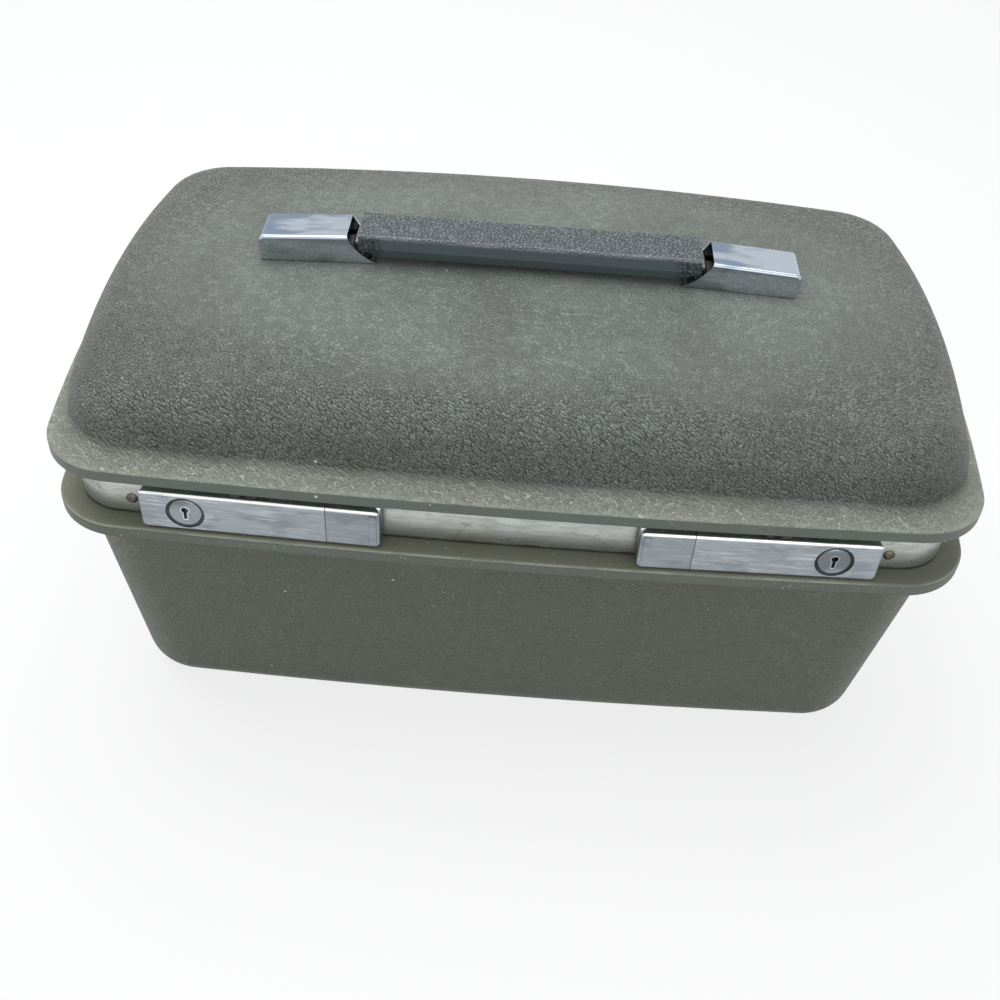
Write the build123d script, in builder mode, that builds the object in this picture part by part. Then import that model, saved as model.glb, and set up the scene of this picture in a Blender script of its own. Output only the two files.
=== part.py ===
"""Cosmetic train case: a moulded base and a domed lid hinged along the back,
closed by two recessed hasp latches with key locks, with a lift handle on the lid,
a mirror in the lid and a lift-out tray. The origin is on the table under the middle
of the case, +Z is up and the front with its latches faces -Y."""

import os
from math import asin, cos, radians, sin, sqrt, tan

from build123d import *

os.makedirs("parts", exist_ok=True)

# Fits and running clearances
fit_gap = 0.05
run_gap = 0.3
bearing_gap = 0.05

# Plan of the case at its rim
case_length = 370.0
case_depth = 227.0
end_bow = 8.0
side_bow = 4.5
rim_corner = 29.0

# Heights from the table up
foot_height = 2.5
shelf_height = 131.5
flange_thickness = 5.2
groove_height = 22.9
lid_band = 4.9
band_edge = 0.5
lid_rise = 41.1

# Base shell
base_skin = 2.8
side_inset = 9.0
end_inset = 6.2
side_lean = 11.0
end_lean = 3.6
base_corner = 28.0
bottom_edge = 15.0
flange_edge = 1.4

# Lid shell
lid_skin = 3.0
wall_inset = 7.7
wall_end_inset = 6.2
wall_corner = 32.0
lid_lean = 20.0
lid_end_lean = 3.0
roll_radius = 22.0
cove_radius = 9.0
cove_end_radius = 5.0
cove_sink = 0.25
cove_steps = (-0.05, 0.0, 0.05, 0.16, 0.34, 0.6, 0.85, 1.0)
crown_length_radius = 2200.0
crown_depth_radius = 560.0

# Tongue and groove frame
groove_depth = 9.0
frame_wall = 1.5
upstand = 2.45
seat_depth = 3.5
seam_cover = 0.8
seam_gap = 0.4
lid_frame_wall = 1.8
web_drop = 7.7
inner_drop = 1.7
inner_reach = 25.2
tongue_wall = 1.1
tongue_reach = 6.1
tongue_end = 60.0

# Linings
lining_gap = 0.3
lining_wall = 1.5
lining_drop = 1.0

# Rivets
shank_radius = 1.2
head_radius = 2.3
head_height = 0.9
head_flat = 0.55
head_rim = 0.3
flat_head = 0.6
tail_height = 0.6
tail_spread = 1.5
rivet_rise = 7.5
front_rivet_inset = 39.0
back_rivet_inner = 30.0
back_rivet_inset = 35.0
end_rivet_inset = 51.5

# Hinges
hinge_inset = 90.0
hinge_width = 44.0
hinge_out = 3.7
hinge_rise = 15.5
knuckle_radius = 2.2
hinge_pin_radius = 1.1
middle_knuckle = 13.4
leaf_wall = 1.1
base_leaf_height = 14.5
lid_leaf_wall = 1.2
lid_leaf_width = 40.0
lid_leaf_depth = 5.4
hinge_rivet_offset = 13.0
hinge_rivet_rise = 7.0

# Latches, right-hand one; x runs along the latch from its middle
latch_margin = 44.4
latch_length = 92.2
latch_height = 18.2
latch_clear = 0.7
hasp_front = 7.7
hasp_back = 3.0
face_wall = 1.2
side_wall = 1.0
hasp_corner = 2.5
hasp_edge = 1.5
pad_length = 21.0
pad_gap = 0.25
lip_width = 3.0
lip_height = 0.5
lip_reach = 7.2
plate_wall = 1.2
plate_margin = 0.8
pin_out = 5.0
pin_up = 2.9
hasp_pin_radius = 0.75
ear_radius = 1.3
ear_wall = 1.2
ear_places = (40.5, -15.5)
lug_radius = 1.55
lug_wall = 1.2
tongue_width = 12.0
tongue_thick = 1.2
tongue_length = 17.0
rail_reach = 3.5
rail_wall = 1.3
spring_wall = 0.4
spring_width = 5.0
spring_length = 12.0
spring_bow = 0.7
lock_from_end = 17.7
lock_radius = 7.4
lock_flange = 8.0
plug_radius = 6.2
ring_recess = 0.4
plug_recess = 0.2
keyhole_radius = 1.3
keyhole_width = 1.1
keyhole_length = 4.4
keyhole_depth = 2.6
cam_wall = 1.0
cam_length = 9.0
cam_width = 4.0
latch_rivets_at = (-30.0, 16.5)
striker_wall = 0.9
striker_width = 10.0
striker_at = 7.0
striker_low = 4.0
striker_foot = 4.8
tooth_width = 5.6
tooth_height = 1.5
tooth_at = 5.2

# Carrying handle
bracket_outer = 110.6
bracket_toe = 62.4
bracket_roof = 74.2
bracket_width = 19.4
bracket_high = 11.7
bracket_low = 10.7
bracket_wall = 1.0
bracket_corner = 2.6
bracket_edge = 1.2
bracket_plate = 1.2
bracket_throat = 5.0
throat_rise = 0.38
bracket_screws_at = (-8.0, 17.0)
screw_reach = 2.4
grip_length = 140.0
grip_width = 20.0
grip_top = 12.0
grip_side = 6.0
grip_height = 10.5
grip_undercut = 2.0
grip_edge = 1.6
end_chamfer_length = 9.0
end_chamfer_height = 4.0
strap_width = 13.0
strap_wall = 1.2
strap_drop = 5.7
strap_end = 100.0
strap_step = 1.0
strap_head_width = 16.0
strap_head_length = 6.0

# Feet
foot_radius = 6.5
foot_flat = 4.0
foot_shank = 1.5
foot_bulge = 0.4
foot_bulge_level = 0.72
foot_end_inset = 38.5
foot_side_inset = 57.5

# Tray and what carries it
tray_end_inset = 26.0
tray_side_inset = 27.5
tray_corner = 22.0
tray_height = 34.0
tray_drop = 23.5
tray_wall = 1.6
tray_lip = 2.6
tray_lip_wall = 1.6
tray_divider = 1.4
tray_end_bay = 62.0
tray_front_bay = 58.0
divider_drop = 4.0
finger_width = 26.0
finger_depth = 11.0
rest_bearing = 3.5
rest_height = 6.5
rest_length = 116.0

# Mirror in the lid
mirror_length = 204.0
mirror_depth = 112.0
mirror_corner = 14.0
mirror_wall = 2.4
mirror_drop = 14.5
mirror_border = 7.0
mirror_lip = 1.5
board_margin = 2.0

# Levels and insets worked out from the sizes above
lid_bottom = shelf_height + groove_height
band_top = lid_bottom + lid_band
crown_top = lid_bottom + lid_rise
flange_bottom = shelf_height - flange_thickness
rivet_height = shelf_height + rivet_rise
hinge_height = shelf_height + hinge_rise
hinge_rivet_height = shelf_height + hinge_rivet_rise
tray_floor = shelf_height - tray_drop
frame_seat = shelf_height - seat_depth
frame_top = lid_bottom + seam_cover
lid_frame_low = frame_top + seam_gap
lid_seat = lid_frame_low + lid_frame_wall
web_top = frame_top - web_drop
inner_top = frame_top - inner_drop
plate_back = groove_depth + frame_wall
upstand_front = plate_back + fit_gap
upstand_back = upstand_front + upstand
inner_front = upstand_back + fit_gap
inner_back = inner_front + frame_wall
frame_stack = inner_back - groove_depth
mirror_height = crown_top - mirror_drop
latch_inner = case_length / 2 - latch_margin - latch_length
hinge_offset = case_length / 2 - hinge_inset
foot_x = case_length / 2 - foot_end_inset
foot_y = case_depth / 2 - foot_side_inset
tray_length = case_length - 2 * tray_end_inset
tray_depth = case_depth - 2 * tray_side_inset
front_rivet = case_length / 2 - front_rivet_inset
back_rivets = (back_rivet_inner, case_length / 2 - back_rivet_inset)
end_rivets = (case_depth / 2 - end_rivet_inset, end_rivet_inset - case_depth / 2, 0)


def bow_radius(half_chord, bow):
    """The radius of an arc from its half chord and its rise."""
    return (half_chord**2 + bow**2) / (2 * bow)


def bow_drop(distance, radius):
    """How far an arc falls back from its crown at a distance along the chord."""
    return radius - sqrt(radius**2 - distance**2)


side_radius = bow_radius(case_length / 2 - end_bow, side_bow)
end_radius = bow_radius(case_depth / 2 - side_bow, end_bow)


def sharp_corner(side_in, end_in):
    """Where the front and the right-hand bow would meet, each drawn in by an inset."""
    front_y, right_x = side_radius - case_depth / 2, case_length / 2 - end_radius
    front_r, right_r = side_radius - side_in, end_radius - end_in
    apart = sqrt(front_y**2 + right_x**2)
    along = (front_r**2 - right_r**2 + apart**2) / (2 * apart)
    across = sqrt(front_r**2 - along**2)
    x = (right_x * along + front_y * across) / apart
    y = front_y - (front_y * along - right_x * across) / apart
    return x, y


def bowed_outline(side_in, end_in, corner):
    """The plan outline drawn in at its sides and ends: four bows with rounded corners."""
    x, y = sharp_corner(side_in, end_in)
    length, depth = case_length / 2 - end_in, case_depth / 2 - side_in
    with BuildSketch() as outline:
        with BuildLine():
            ThreePointArc((-x, y), (0, -depth), (x, y))
            ThreePointArc((x, y), (length, 0), (x, -y))
            ThreePointArc((x, -y), (0, depth), (-x, -y))
            ThreePointArc((-x, -y), (-length, 0), (-x, y))
        make_face()
        fillet(outline.vertices(), corner)
    return outline.sketch


def rim_inset(inset):
    """The rim's outline, drawn in by an inset."""
    return bowed_outline(inset, inset, rim_corner - inset)


rim = rim_inset(0)


def ring(low, high, outer, inner):
    """A band that follows the rim, between two heights and two insets from it."""
    with BuildPart() as band:
        with BuildSketch(Plane.XY.offset(low)):
            add(rim_inset(outer))
            add(rim_inset(inner), mode=Mode.SUBTRACT)
        extrude(amount=high - low)
    return band.part


def plug(low, high, inset):
    """The whole area inside the rim, between two heights."""
    with BuildPart() as block:
        with BuildSketch(Plane.XY.offset(low)):
            add(rim_inset(inset))
        extrude(amount=high - low)
    return block.part


def tapered_body(foot, height, half_depth, half_length, leans, corner):
    """A body that narrows upwards from its foot: bowed sides and ends, each with its own
    lean, and rounded uprights."""
    reach_x = case_length * 2 / 3
    reach_y = case_depth * 3 / 4
    x = half_length - bow_drop(reach_y, end_radius)
    y = half_depth - bow_drop(reach_x, side_radius)
    with BuildPart() as body:
        with BuildSketch(Plane.XY.offset(foot)):
            with BuildLine():
                ThreePointArc((-reach_x, -y), (0, -half_depth), (reach_x, -y))
                Line((reach_x, -y), (reach_x, y))
                ThreePointArc((reach_x, y), (0, half_depth), (-reach_x, y))
                Line((-reach_x, y), (-reach_x, -y))
            make_face()
        extrude(amount=height, taper=leans[0])
        with BuildSketch(Plane.XY.offset(foot)):
            with BuildLine():
                Line((-x, -reach_y), (x, -reach_y))
                ThreePointArc((x, -reach_y), (half_length, 0), (x, reach_y))
                Line((x, reach_y), (-x, reach_y))
                ThreePointArc((-x, reach_y), (-half_length, 0), (-x, -reach_y))
            make_face()
        extrude(amount=height, taper=leans[1], mode=Mode.INTERSECT)
        uprights = body.edges().filter_by(lambda e: e.bounding_box().size.Z > height / 2)
        fillet(uprights, corner)
    return body.part


def base_volume(skin):
    """The base's tapered body, drawn in from the outside by a skin.
    It is drawn standing on the shelf plane and turned over at the end."""
    depth = case_depth / 2 - side_inset - skin / cos(radians(side_lean))
    length = case_length / 2 - end_inset - skin / cos(radians(end_lean))
    height = shelf_height - foot_height - skin
    with BuildPart() as body:
        add(tapered_body(shelf_height, height, depth, length, (side_lean, end_lean), base_corner - skin))
        fillet(body.faces().sort_by(Axis.Z)[-1].edges(), bottom_edge - skin)
    return body.part.mirror(Plane.XY.offset(shelf_height))


def base_hollow(skin, top):
    """What the base's walls enclose below a height."""
    with BuildPart() as hollow:
        add(base_volume(skin))
        split(bisect_by=Plane.XY.offset(top), keep=Keep.BOTTOM)
    return hollow.part


def lid_volume(skin, foot):
    """The lid's domed body above a height, drawn in from the outside by a skin."""
    below = band_top - foot
    depth = case_depth / 2 - wall_inset - skin / cos(radians(lid_lean)) + below * tan(radians(lid_lean))
    length = case_length / 2 - wall_end_inset - skin / cos(radians(lid_end_lean))
    length += below * tan(radians(lid_end_lean))
    top = crown_top - skin
    long_radius = crown_length_radius - skin
    short_radius = crown_depth_radius - skin
    reach = case_length / 2
    edge = top - bow_drop(reach, long_radius)
    with BuildPart() as body:
        add(tapered_body(foot, crown_top - foot, depth, length, (lid_lean, lid_end_lean), wall_corner - skin))
        with BuildSketch(Plane.XZ):
            with BuildLine():
                ThreePointArc((-reach, edge), (0, top), (reach, edge))
                Polyline((reach, edge), (reach, top - short_radius),
                         (-reach, top - short_radius), (-reach, edge))
            make_face()
        revolve(axis=Axis((0, 0, top - short_radius), (1, 0, 0)), mode=Mode.INTERSECT)
        fillet(body.faces().sort_by(Axis.Z)[-1].edges(), roll_radius - skin)
    return body.part


def cove_inset(radius, lean, inset, height):
    """How far in from the rim a cove lies at a height over the band. It is tangent to the
    band and to the wall, which leans and starts from an inset."""
    start = inset - radius * tan(radians(90 - lean) / 2)
    if height < radius * (1 - sin(radians(lean))):
        return start + sqrt(radius**2 - (radius - height) ** 2)
    return inset + height * tan(radians(lean))


def lid_cove():
    """The cove between the lid's band and its wall, wide along the sides and narrow at the
    ends. Its foot is sunk in the band and its top in the wall, where it joins them."""
    height = cove_radius * (1 - sin(radians(lid_lean)))
    with BuildPart() as cove:
        for step in cove_steps:
            up = max(step, 0)
            sunk = cove_sink * up**4 if step >= 0 else -2 * cove_sink
            side_in = cove_inset(cove_radius, lid_lean, wall_inset, height * up) + sunk
            end_in = cove_inset(cove_end_radius, lid_end_lean, wall_end_inset, height * up) + sunk
            with BuildSketch(Plane.XY.offset(band_top + height * step)):
                add(bowed_outline(side_in, end_in, rim_corner + (wall_corner - rim_corner) * sqrt(up)))
        loft()
    return cove.part


def crown_height(x, y=0):
    """The height of the lid's crown over a point of the plan."""
    return crown_top - bow_drop(x, crown_length_radius) - bow_drop(y, crown_depth_radius)


def side_plane(x, height, sign=-1):
    """A plane on the frame's front face (sign -1) or back face (sign 1), facing out."""
    radius = side_radius - groove_depth
    turn = asin(x / radius)
    y = sign * (case_depth / 2 - side_radius + radius * cos(turn))
    outward = (sin(turn), sign * cos(turn), 0)
    return Plane(origin=(x, y, height), x_dir=(-sign * cos(turn), sin(turn), 0), z_dir=outward)


def end_plane(y, height, sign=1):
    """A plane on the frame's end face, facing out; sign 1 is the right end."""
    radius = end_radius - groove_depth
    turn = asin(y / radius)
    x = sign * (case_length / 2 - end_radius + radius * cos(turn))
    outward = (sign * cos(turn), sin(turn), 0)
    return Plane(origin=(x, y, height), x_dir=(-sin(turn), sign * cos(turn), 0), z_dir=outward)


def rivet(head, radius, grip, tail=tail_height):
    """A rivet standing on the XY plane: head above, shank and clenched tail below."""
    tail_radius = shank_radius * tail_spread
    with BuildPart() as pin:
        with BuildSketch(Plane.XZ):
            with BuildLine():
                Polyline((0, head), (radius * head_flat, head), (radius, head * head_rim), (radius, 0),
                         (shank_radius, 0), (shank_radius, -grip))
                if tail:
                    Polyline((shank_radius, -grip), (tail_radius, -grip), (tail_radius, -grip - tail),
                             (0, -grip - tail), (0, head))
                else:
                    Polyline((shank_radius, -grip), (0, -grip), (0, head))
            make_face()
        revolve(axis=Axis.Z)
    return pin.part


def save(piece, name):
    """Labels one sub-part and writes its file."""
    piece.part.label = name
    export_step(piece.part, f"parts/{name}.step")


def save_pair(right, name):
    """Writes a right-hand sub-part and its mirror image on the left."""
    with BuildPart() as left:
        mirror(right.part, about=Plane.YZ)
    save(right, f"{name}_right")
    save(left, f"{name}_left")


# Where the rivets, screws and feet stand
frame_rivet_planes = [
    *[side_plane(sign * front_rivet, rivet_height) for sign in (-1, 1)],
    *[side_plane(sign * x, rivet_height, 1) for x in back_rivets for sign in (-1, 1)],
    *[end_plane(y, rivet_height, side) for side in (-1, 1) for y in end_rivets],
]
foot_planes = [Plane((x, y, foot_height)) for x in (-foot_x, foot_x) for y in (-foot_y, foot_y)]
hinge_axis_y = case_depth / 2 - groove_depth + hinge_out
lid_leaf_y = hinge_axis_y - knuckle_radius
hinge_rivet_xs = [
    side * hinge_offset + step for side in (-1, 1) for step in (-hinge_rivet_offset, hinge_rivet_offset)
]
hinge_base_planes = [side_plane(x, hinge_rivet_height, 1) for x in hinge_rivet_xs]
hinge_lid_planes = [
    Plane(origin=(x, lid_leaf_y + lid_leaf_depth / 2, lid_bottom), z_dir=(0, 0, -1)) for x in hinge_rivet_xs
]

# The latch's own plane lies on the frame's front face at the middle of the latch
latch_middle = latch_inner + latch_length / 2
latch_level = shelf_height + latch_clear + latch_height / 2
latch_face = side_plane(latch_middle, latch_level)
latch_half = latch_length / 2
outer_end = latch_half
inner_end = -latch_half
pad_line = inner_end + pad_length
pin_level = -latch_height / 2 + pin_up
lock_at = outer_end - lock_from_end


def latch_across(x):
    """A plane square to the latch at a place along it; its x runs out of the case and its y up."""
    return Plane(
        origin=latch_face.from_local_coords(Vector(x, 0, 0)), x_dir=latch_face.z_dir, z_dir=-latch_face.x_dir
    )


def latch_flat(up):
    """A level plane at a height on the latch; its x runs along the latch and its y into the case."""
    return Plane(
        origin=latch_face.from_local_coords(Vector(0, up, 0)), x_dir=latch_face.x_dir, z_dir=latch_face.y_dir
    )


def on_latch(shape):
    """The middle of a shape in the latch's own coordinates: along, up and out."""
    return latch_face.to_local_coords(shape.center())


latch_rivet_planes = [
    Plane(origin=latch_face.from_local_coords(Vector(x, 0, 0)),
          x_dir=latch_face.x_dir, z_dir=latch_face.z_dir)
    for x in latch_rivets_at
]
plate_front = fit_gap + plate_wall
tab_back = plate_front + 1.5 * run_gap
striker_out = tab_back + (striker_wall + striker_foot) / 2
striker_point = latch_face.from_local_coords(Vector(striker_at, 0, striker_out))
striker_plane = Plane(origin=(striker_point.X, striker_point.Y, lid_bottom), z_dir=(0, 0, -1))

# The bracket's own plane lies on the lid's crown under its middle
bracket_middle = (bracket_outer + bracket_toe) / 2
bracket_tilt = asin(bracket_middle / crown_length_radius)
bracket_base = Plane(
    origin=(bracket_middle, 0, crown_height(bracket_middle)),
    x_dir=(cos(bracket_tilt), 0, -sin(bracket_tilt)), z_dir=(sin(bracket_tilt), 0, cos(bracket_tilt)),
)
bracket_side = Plane(origin=bracket_base.origin, x_dir=bracket_base.x_dir, z_dir=-bracket_base.y_dir)
half_bracket = (bracket_outer - bracket_toe) / 2
roof_start = bracket_roof - bracket_middle
bracket_foot = 2 * fit_gap

bracket_screw_planes = [
    Plane(origin=bracket_base.from_local_coords(Vector(x, 0, bracket_foot + bracket_plate)),
          x_dir=bracket_base.x_dir, z_dir=bracket_base.z_dir)
    for x in bracket_screws_at
]
bracket_screw_grip = bracket_foot + bracket_plate + screw_reach


def mirrored(planes):
    """The planes together with their mirror images on the left."""
    twins = [
        Plane(origin=(-p.origin.X, p.origin.Y, p.origin.Z), x_dir=(p.x_dir.X, -p.x_dir.Y, 0),
              z_dir=(-p.z_dir.X, p.z_dir.Y, p.z_dir.Z))
        for p in planes
    ]
    return [*planes, *twins]


# Base shell, moulded in one with its flange and the upstand that the frame clips over
with BuildPart() as base_shell:
    add(base_volume(0))
    with BuildSketch(Plane.XY.offset(flange_bottom)):
        add(rim)
    extrude(amount=flange_thickness)
    shelf_edges = base_shell.faces().filter_by(Axis.Z).sort_by(Axis.Z)[-1].outer_wire().edges()
    fillet(shelf_edges, flange_edge)
    add(base_hollow(base_skin, flange_bottom), mode=Mode.SUBTRACT)
    add(plug(flange_bottom, shelf_height, upstand_back), mode=Mode.SUBTRACT)
    add(ring(frame_seat, shelf_height, groove_depth - fit_gap, upstand_front), mode=Mode.SUBTRACT)
    add(ring(shelf_height, web_top - frame_wall - fit_gap, upstand_front, upstand_back))
    with BuildSketch(*frame_rivet_planes, *hinge_base_planes, *mirrored(latch_rivet_planes)):
        Circle(shank_radius + fit_gap)
    extrude(amount=-frame_stack, mode=Mode.SUBTRACT)
    with BuildSketch(*foot_planes):
        Circle(foot_shank + fit_gap)
    extrude(amount=base_skin - fit_gap, mode=Mode.SUBTRACT)
save(base_shell, "base_shell")

# Aluminium frame of the base: face plate, web over the upstand and inner plate
with BuildPart() as base_frame:
    add(ring(frame_seat, frame_top, groove_depth, plate_back))
    add(ring(web_top - frame_wall, web_top, groove_depth, inner_back))
    add(ring(frame_top - inner_reach, inner_top, inner_front, inner_back))
    with BuildSketch(*frame_rivet_planes, *hinge_base_planes, *mirrored(latch_rivet_planes)):
        Circle(shank_radius + fit_gap)
    extrude(amount=-frame_stack - frame_wall, mode=Mode.SUBTRACT)
save(base_frame, "base_frame")

# Rivets through the frame and the upstand
with BuildPart() as frame_rivets:
    with Locations(*frame_rivet_planes):
        add(rivet(head_height, head_radius, frame_stack + fit_gap))
save(frame_rivets, "frame_rivets")

# Lid shell: band, cove, leaning wall and doubly curved crown
with BuildPart() as lid_shell:
    with BuildSketch(Plane.XY.offset(lid_bottom)):
        add(rim)
    extrude(amount=lid_band)
    fillet(lid_shell.faces().sort_by(Axis.Z)[-1].edges(), band_edge)
    add(lid_cove())
    add(lid_volume(0, band_top - lid_band / 2))
    add(plug(lid_bottom, lid_seat, groove_depth), mode=Mode.SUBTRACT)
    add(lid_volume(lid_skin, lid_seat), mode=Mode.SUBTRACT)
    with BuildSketch(*hinge_lid_planes, *mirrored([striker_plane])):
        Circle(shank_radius + fit_gap)
    extrude(amount=-lid_band / 2 - fit_gap, mode=Mode.SUBTRACT)
    with BuildSketch(*mirrored(bracket_screw_planes)):
        Circle(shank_radius + fit_gap)
    extrude(amount=-bracket_screw_grip - fit_gap, mode=Mode.SUBTRACT)
save(lid_shell, "lid_shell")

# Aluminium frame of the lid, with a tongue along the front and the ends
with BuildPart() as lid_frame:
    add(ring(lid_frame_low, lid_seat, groove_depth + fit_gap, inner_back))
    tongue_inset = (plate_back + inner_front) / 2
    add(ring(lid_frame_low - tongue_reach, lid_frame_low,
             tongue_inset - tongue_wall / 2, tongue_inset + tongue_wall / 2))
    with BuildSketch(Plane.XY.offset(lid_frame_low - tongue_reach)):
        with Locations((0, tongue_end + case_depth / 2)):
            Rectangle(case_length, case_depth)
    extrude(amount=tongue_reach, mode=Mode.SUBTRACT)
save(lid_frame, "lid_frame")

# Linings
with BuildPart() as base_lining:
    add(base_hollow(base_skin + lining_gap, flange_bottom - lining_drop))
    add(base_hollow(base_skin + lining_gap + lining_wall, flange_bottom), mode=Mode.SUBTRACT)
save(base_lining, "base_lining")

with BuildPart() as lid_lining:
    add(lid_volume(lid_skin + lining_gap, lid_seat + lining_gap))
    add(lid_volume(lid_skin + lining_gap + lining_wall, lid_seat), mode=Mode.SUBTRACT)
save(lid_lining, "lid_lining")

# Mirror in the lid: padded board, glass and the retainer round it
with BuildPart() as mirror_board:
    board_length = mirror_length - 2 * board_margin
    board_depth = mirror_depth - 2 * board_margin
    with BuildSketch(Plane.XY.offset(mirror_height + fit_gap)):
        RectangleRounded(board_length, board_depth, mirror_corner)
    extrude(amount=crown_top - mirror_height)
    add(lid_volume(lid_skin + lining_gap + lining_wall + fit_gap, lid_seat), mode=Mode.INTERSECT)
save(mirror_board, "mirror_board")

with BuildPart() as mirror_glass:
    with BuildSketch(Plane.XY.offset(mirror_height)):
        RectangleRounded(mirror_length, mirror_depth, mirror_corner)
    extrude(amount=-mirror_wall)
save(mirror_glass, "mirror_glass")

with BuildPart() as mirror_frame:
    lip_bottom = mirror_height - mirror_wall - fit_gap - mirror_lip
    with BuildSketch(Plane.XY.offset(lip_bottom)):
        RectangleRounded(mirror_length + 2 * mirror_border, mirror_depth + 2 * mirror_border,
                         mirror_corner + mirror_border)
    extrude(amount=crown_top - mirror_height)
    fillet(mirror_frame.faces().sort_by(Axis.Z)[0].edges(), mirror_lip / 2)
    with BuildSketch(Plane.XY.offset(lip_bottom)):
        RectangleRounded(mirror_length - mirror_border, mirror_depth - mirror_border,
                         mirror_corner - mirror_border / 2)
    extrude(amount=crown_top - mirror_height, mode=Mode.SUBTRACT)
    with BuildSketch(Plane.XY.offset(lip_bottom + mirror_lip)):
        RectangleRounded(mirror_length + 2 * fit_gap, mirror_depth + 2 * fit_gap, mirror_corner)
    extrude(amount=crown_top - mirror_height, mode=Mode.SUBTRACT)
    add(lid_volume(lid_skin + lining_gap + lining_wall + run_gap, lid_seat), mode=Mode.INTERSECT)
save(mirror_frame, "mirror_frame")

# Lift-out tray with compartments, and the rests on the end walls that carry it
with BuildPart() as tray:
    inner_length = tray_length - 2 * tray_wall
    inner_depth = tray_depth - 2 * tray_wall
    with BuildSketch(Plane.XY.offset(tray_floor)):
        RectangleRounded(tray_length, tray_depth, tray_corner)
    extrude(amount=tray_height)
    with BuildSketch(Plane.XY.offset(tray_floor + tray_height - tray_lip_wall)):
        RectangleRounded(tray_length + 2 * tray_lip, tray_depth + 2 * tray_lip,
                         tray_corner + tray_lip)
    extrude(amount=tray_lip_wall)
    with BuildSketch(Plane.XY.offset(tray_floor + tray_wall)):
        RectangleRounded(inner_length, inner_depth, tray_corner - tray_wall)
    extrude(amount=tray_height, mode=Mode.SUBTRACT)
    fillet(tray.faces().filter_by(Axis.Z).sort_by(Axis.Z)[0].edges(), tray_wall)
    with BuildSketch(Plane.XY.offset(tray_floor + tray_wall)):
        end_wall_x = inner_length / 2 - tray_end_bay
        with Locations((-end_wall_x, 0), (end_wall_x, 0)):
            Rectangle(tray_divider, inner_depth + tray_wall)
        with Locations((0, tray_front_bay - inner_depth / 2)):
            Rectangle(2 * end_wall_x, tray_divider)
    extrude(amount=tray_height - tray_wall - divider_drop)
    with BuildSketch(Plane.YZ.offset(-tray_length)):
        with Locations((0, tray_floor + tray_height)):
            SlotOverall(finger_width, 2 * finger_depth)
    extrude(amount=tray_length - end_wall_x - tray_divider, mode=Mode.SUBTRACT)
    with BuildSketch(Plane.YZ.offset(tray_length)):
        with Locations((0, tray_floor + tray_height)):
            SlotOverall(finger_width, 2 * finger_depth)
    extrude(amount=-(tray_length - end_wall_x - tray_divider), mode=Mode.SUBTRACT)
save(tray, "tray")

with BuildPart() as tray_rests:
    rest_inner = tray_length / 2 - rest_bearing
    rest_width = case_length / 2 - rest_inner
    with BuildSketch(Plane.XY.offset(tray_floor - run_gap - rest_height)):
        with Locations((rest_inner + rest_width / 2, 0)):
            Rectangle(rest_width, rest_length)
        mirror(about=Plane.YZ)
    extrude(amount=rest_height)
    add(base_volume(base_skin + lining_gap + lining_wall + fit_gap), mode=Mode.INTERSECT)
save(tray_rests, "tray_rests")

# Four glide feet, each with a shank pressed into the bottom of the base
with BuildPart() as feet:
    with BuildSketch(Plane.XZ) as foot_section:
        with BuildLine():
            Polyline((0, -foot_height), (foot_flat, -foot_height))
            bulge = ((foot_flat + foot_radius) / 2 + foot_bulge, -foot_height * foot_bulge_level)
            ThreePointArc((foot_flat, -foot_height), bulge, (foot_radius, -fit_gap))
            shank_top = base_skin - 4 * fit_gap
            Polyline((foot_radius, -fit_gap), (foot_shank, -fit_gap), (foot_shank, shank_top),
                     (0, shank_top), (0, -foot_height))
        make_face()
    revolve(axis=Axis.Z)
foot = feet.part
with BuildPart() as feet:
    with Locations(*foot_planes):
        add(foot)
save(feet, "feet")

# Hinges: a base leaf on the frame, a lid leaf under the lid's band and a pin
with BuildPart() as hinge_base_leaf:
    leaf_y = case_depth / 2 - groove_depth + leaf_wall
    leaf_low = hinge_height + knuckle_radius - base_leaf_height
    knuckle_x = (middle_knuckle / 2 + run_gap + hinge_width / 2) / 2
    knuckle_length = hinge_width / 2 - middle_knuckle / 2 - run_gap
    with BuildSketch(Plane.XY.offset(leaf_low)):
        with Locations((hinge_offset, leaf_y - groove_depth / 2)):
            Rectangle(hinge_width, groove_depth)
        add(rim_inset(groove_depth - fit_gap), mode=Mode.SUBTRACT)
    extrude(amount=base_leaf_height - run_gap)
    for side in (-1, 1):
        with BuildSketch(Plane.YZ.offset(hinge_offset + side * knuckle_x)):
            with Locations((hinge_axis_y, hinge_height)):
                Circle(knuckle_radius)
            arm_y = (leaf_y + hinge_axis_y - leaf_wall) / 2
            with Locations((arm_y, hinge_height - knuckle_radius + leaf_wall / 2)):
                Rectangle(hinge_axis_y - leaf_y + leaf_wall, leaf_wall)
        extrude(amount=knuckle_length / 2, both=True)
    with BuildSketch(Plane.YZ.offset(hinge_offset)):
        with Locations((hinge_axis_y, hinge_height)):
            Circle(hinge_pin_radius + bearing_gap / 2)
    extrude(amount=hinge_width / 2, both=True, mode=Mode.SUBTRACT)
    with BuildSketch(*hinge_base_planes[2:]):
        Circle(shank_radius + fit_gap)
    extrude(amount=knuckle_radius * 3, mode=Mode.SUBTRACT)
save_pair(hinge_base_leaf, "hinge_base_leaf")

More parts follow.
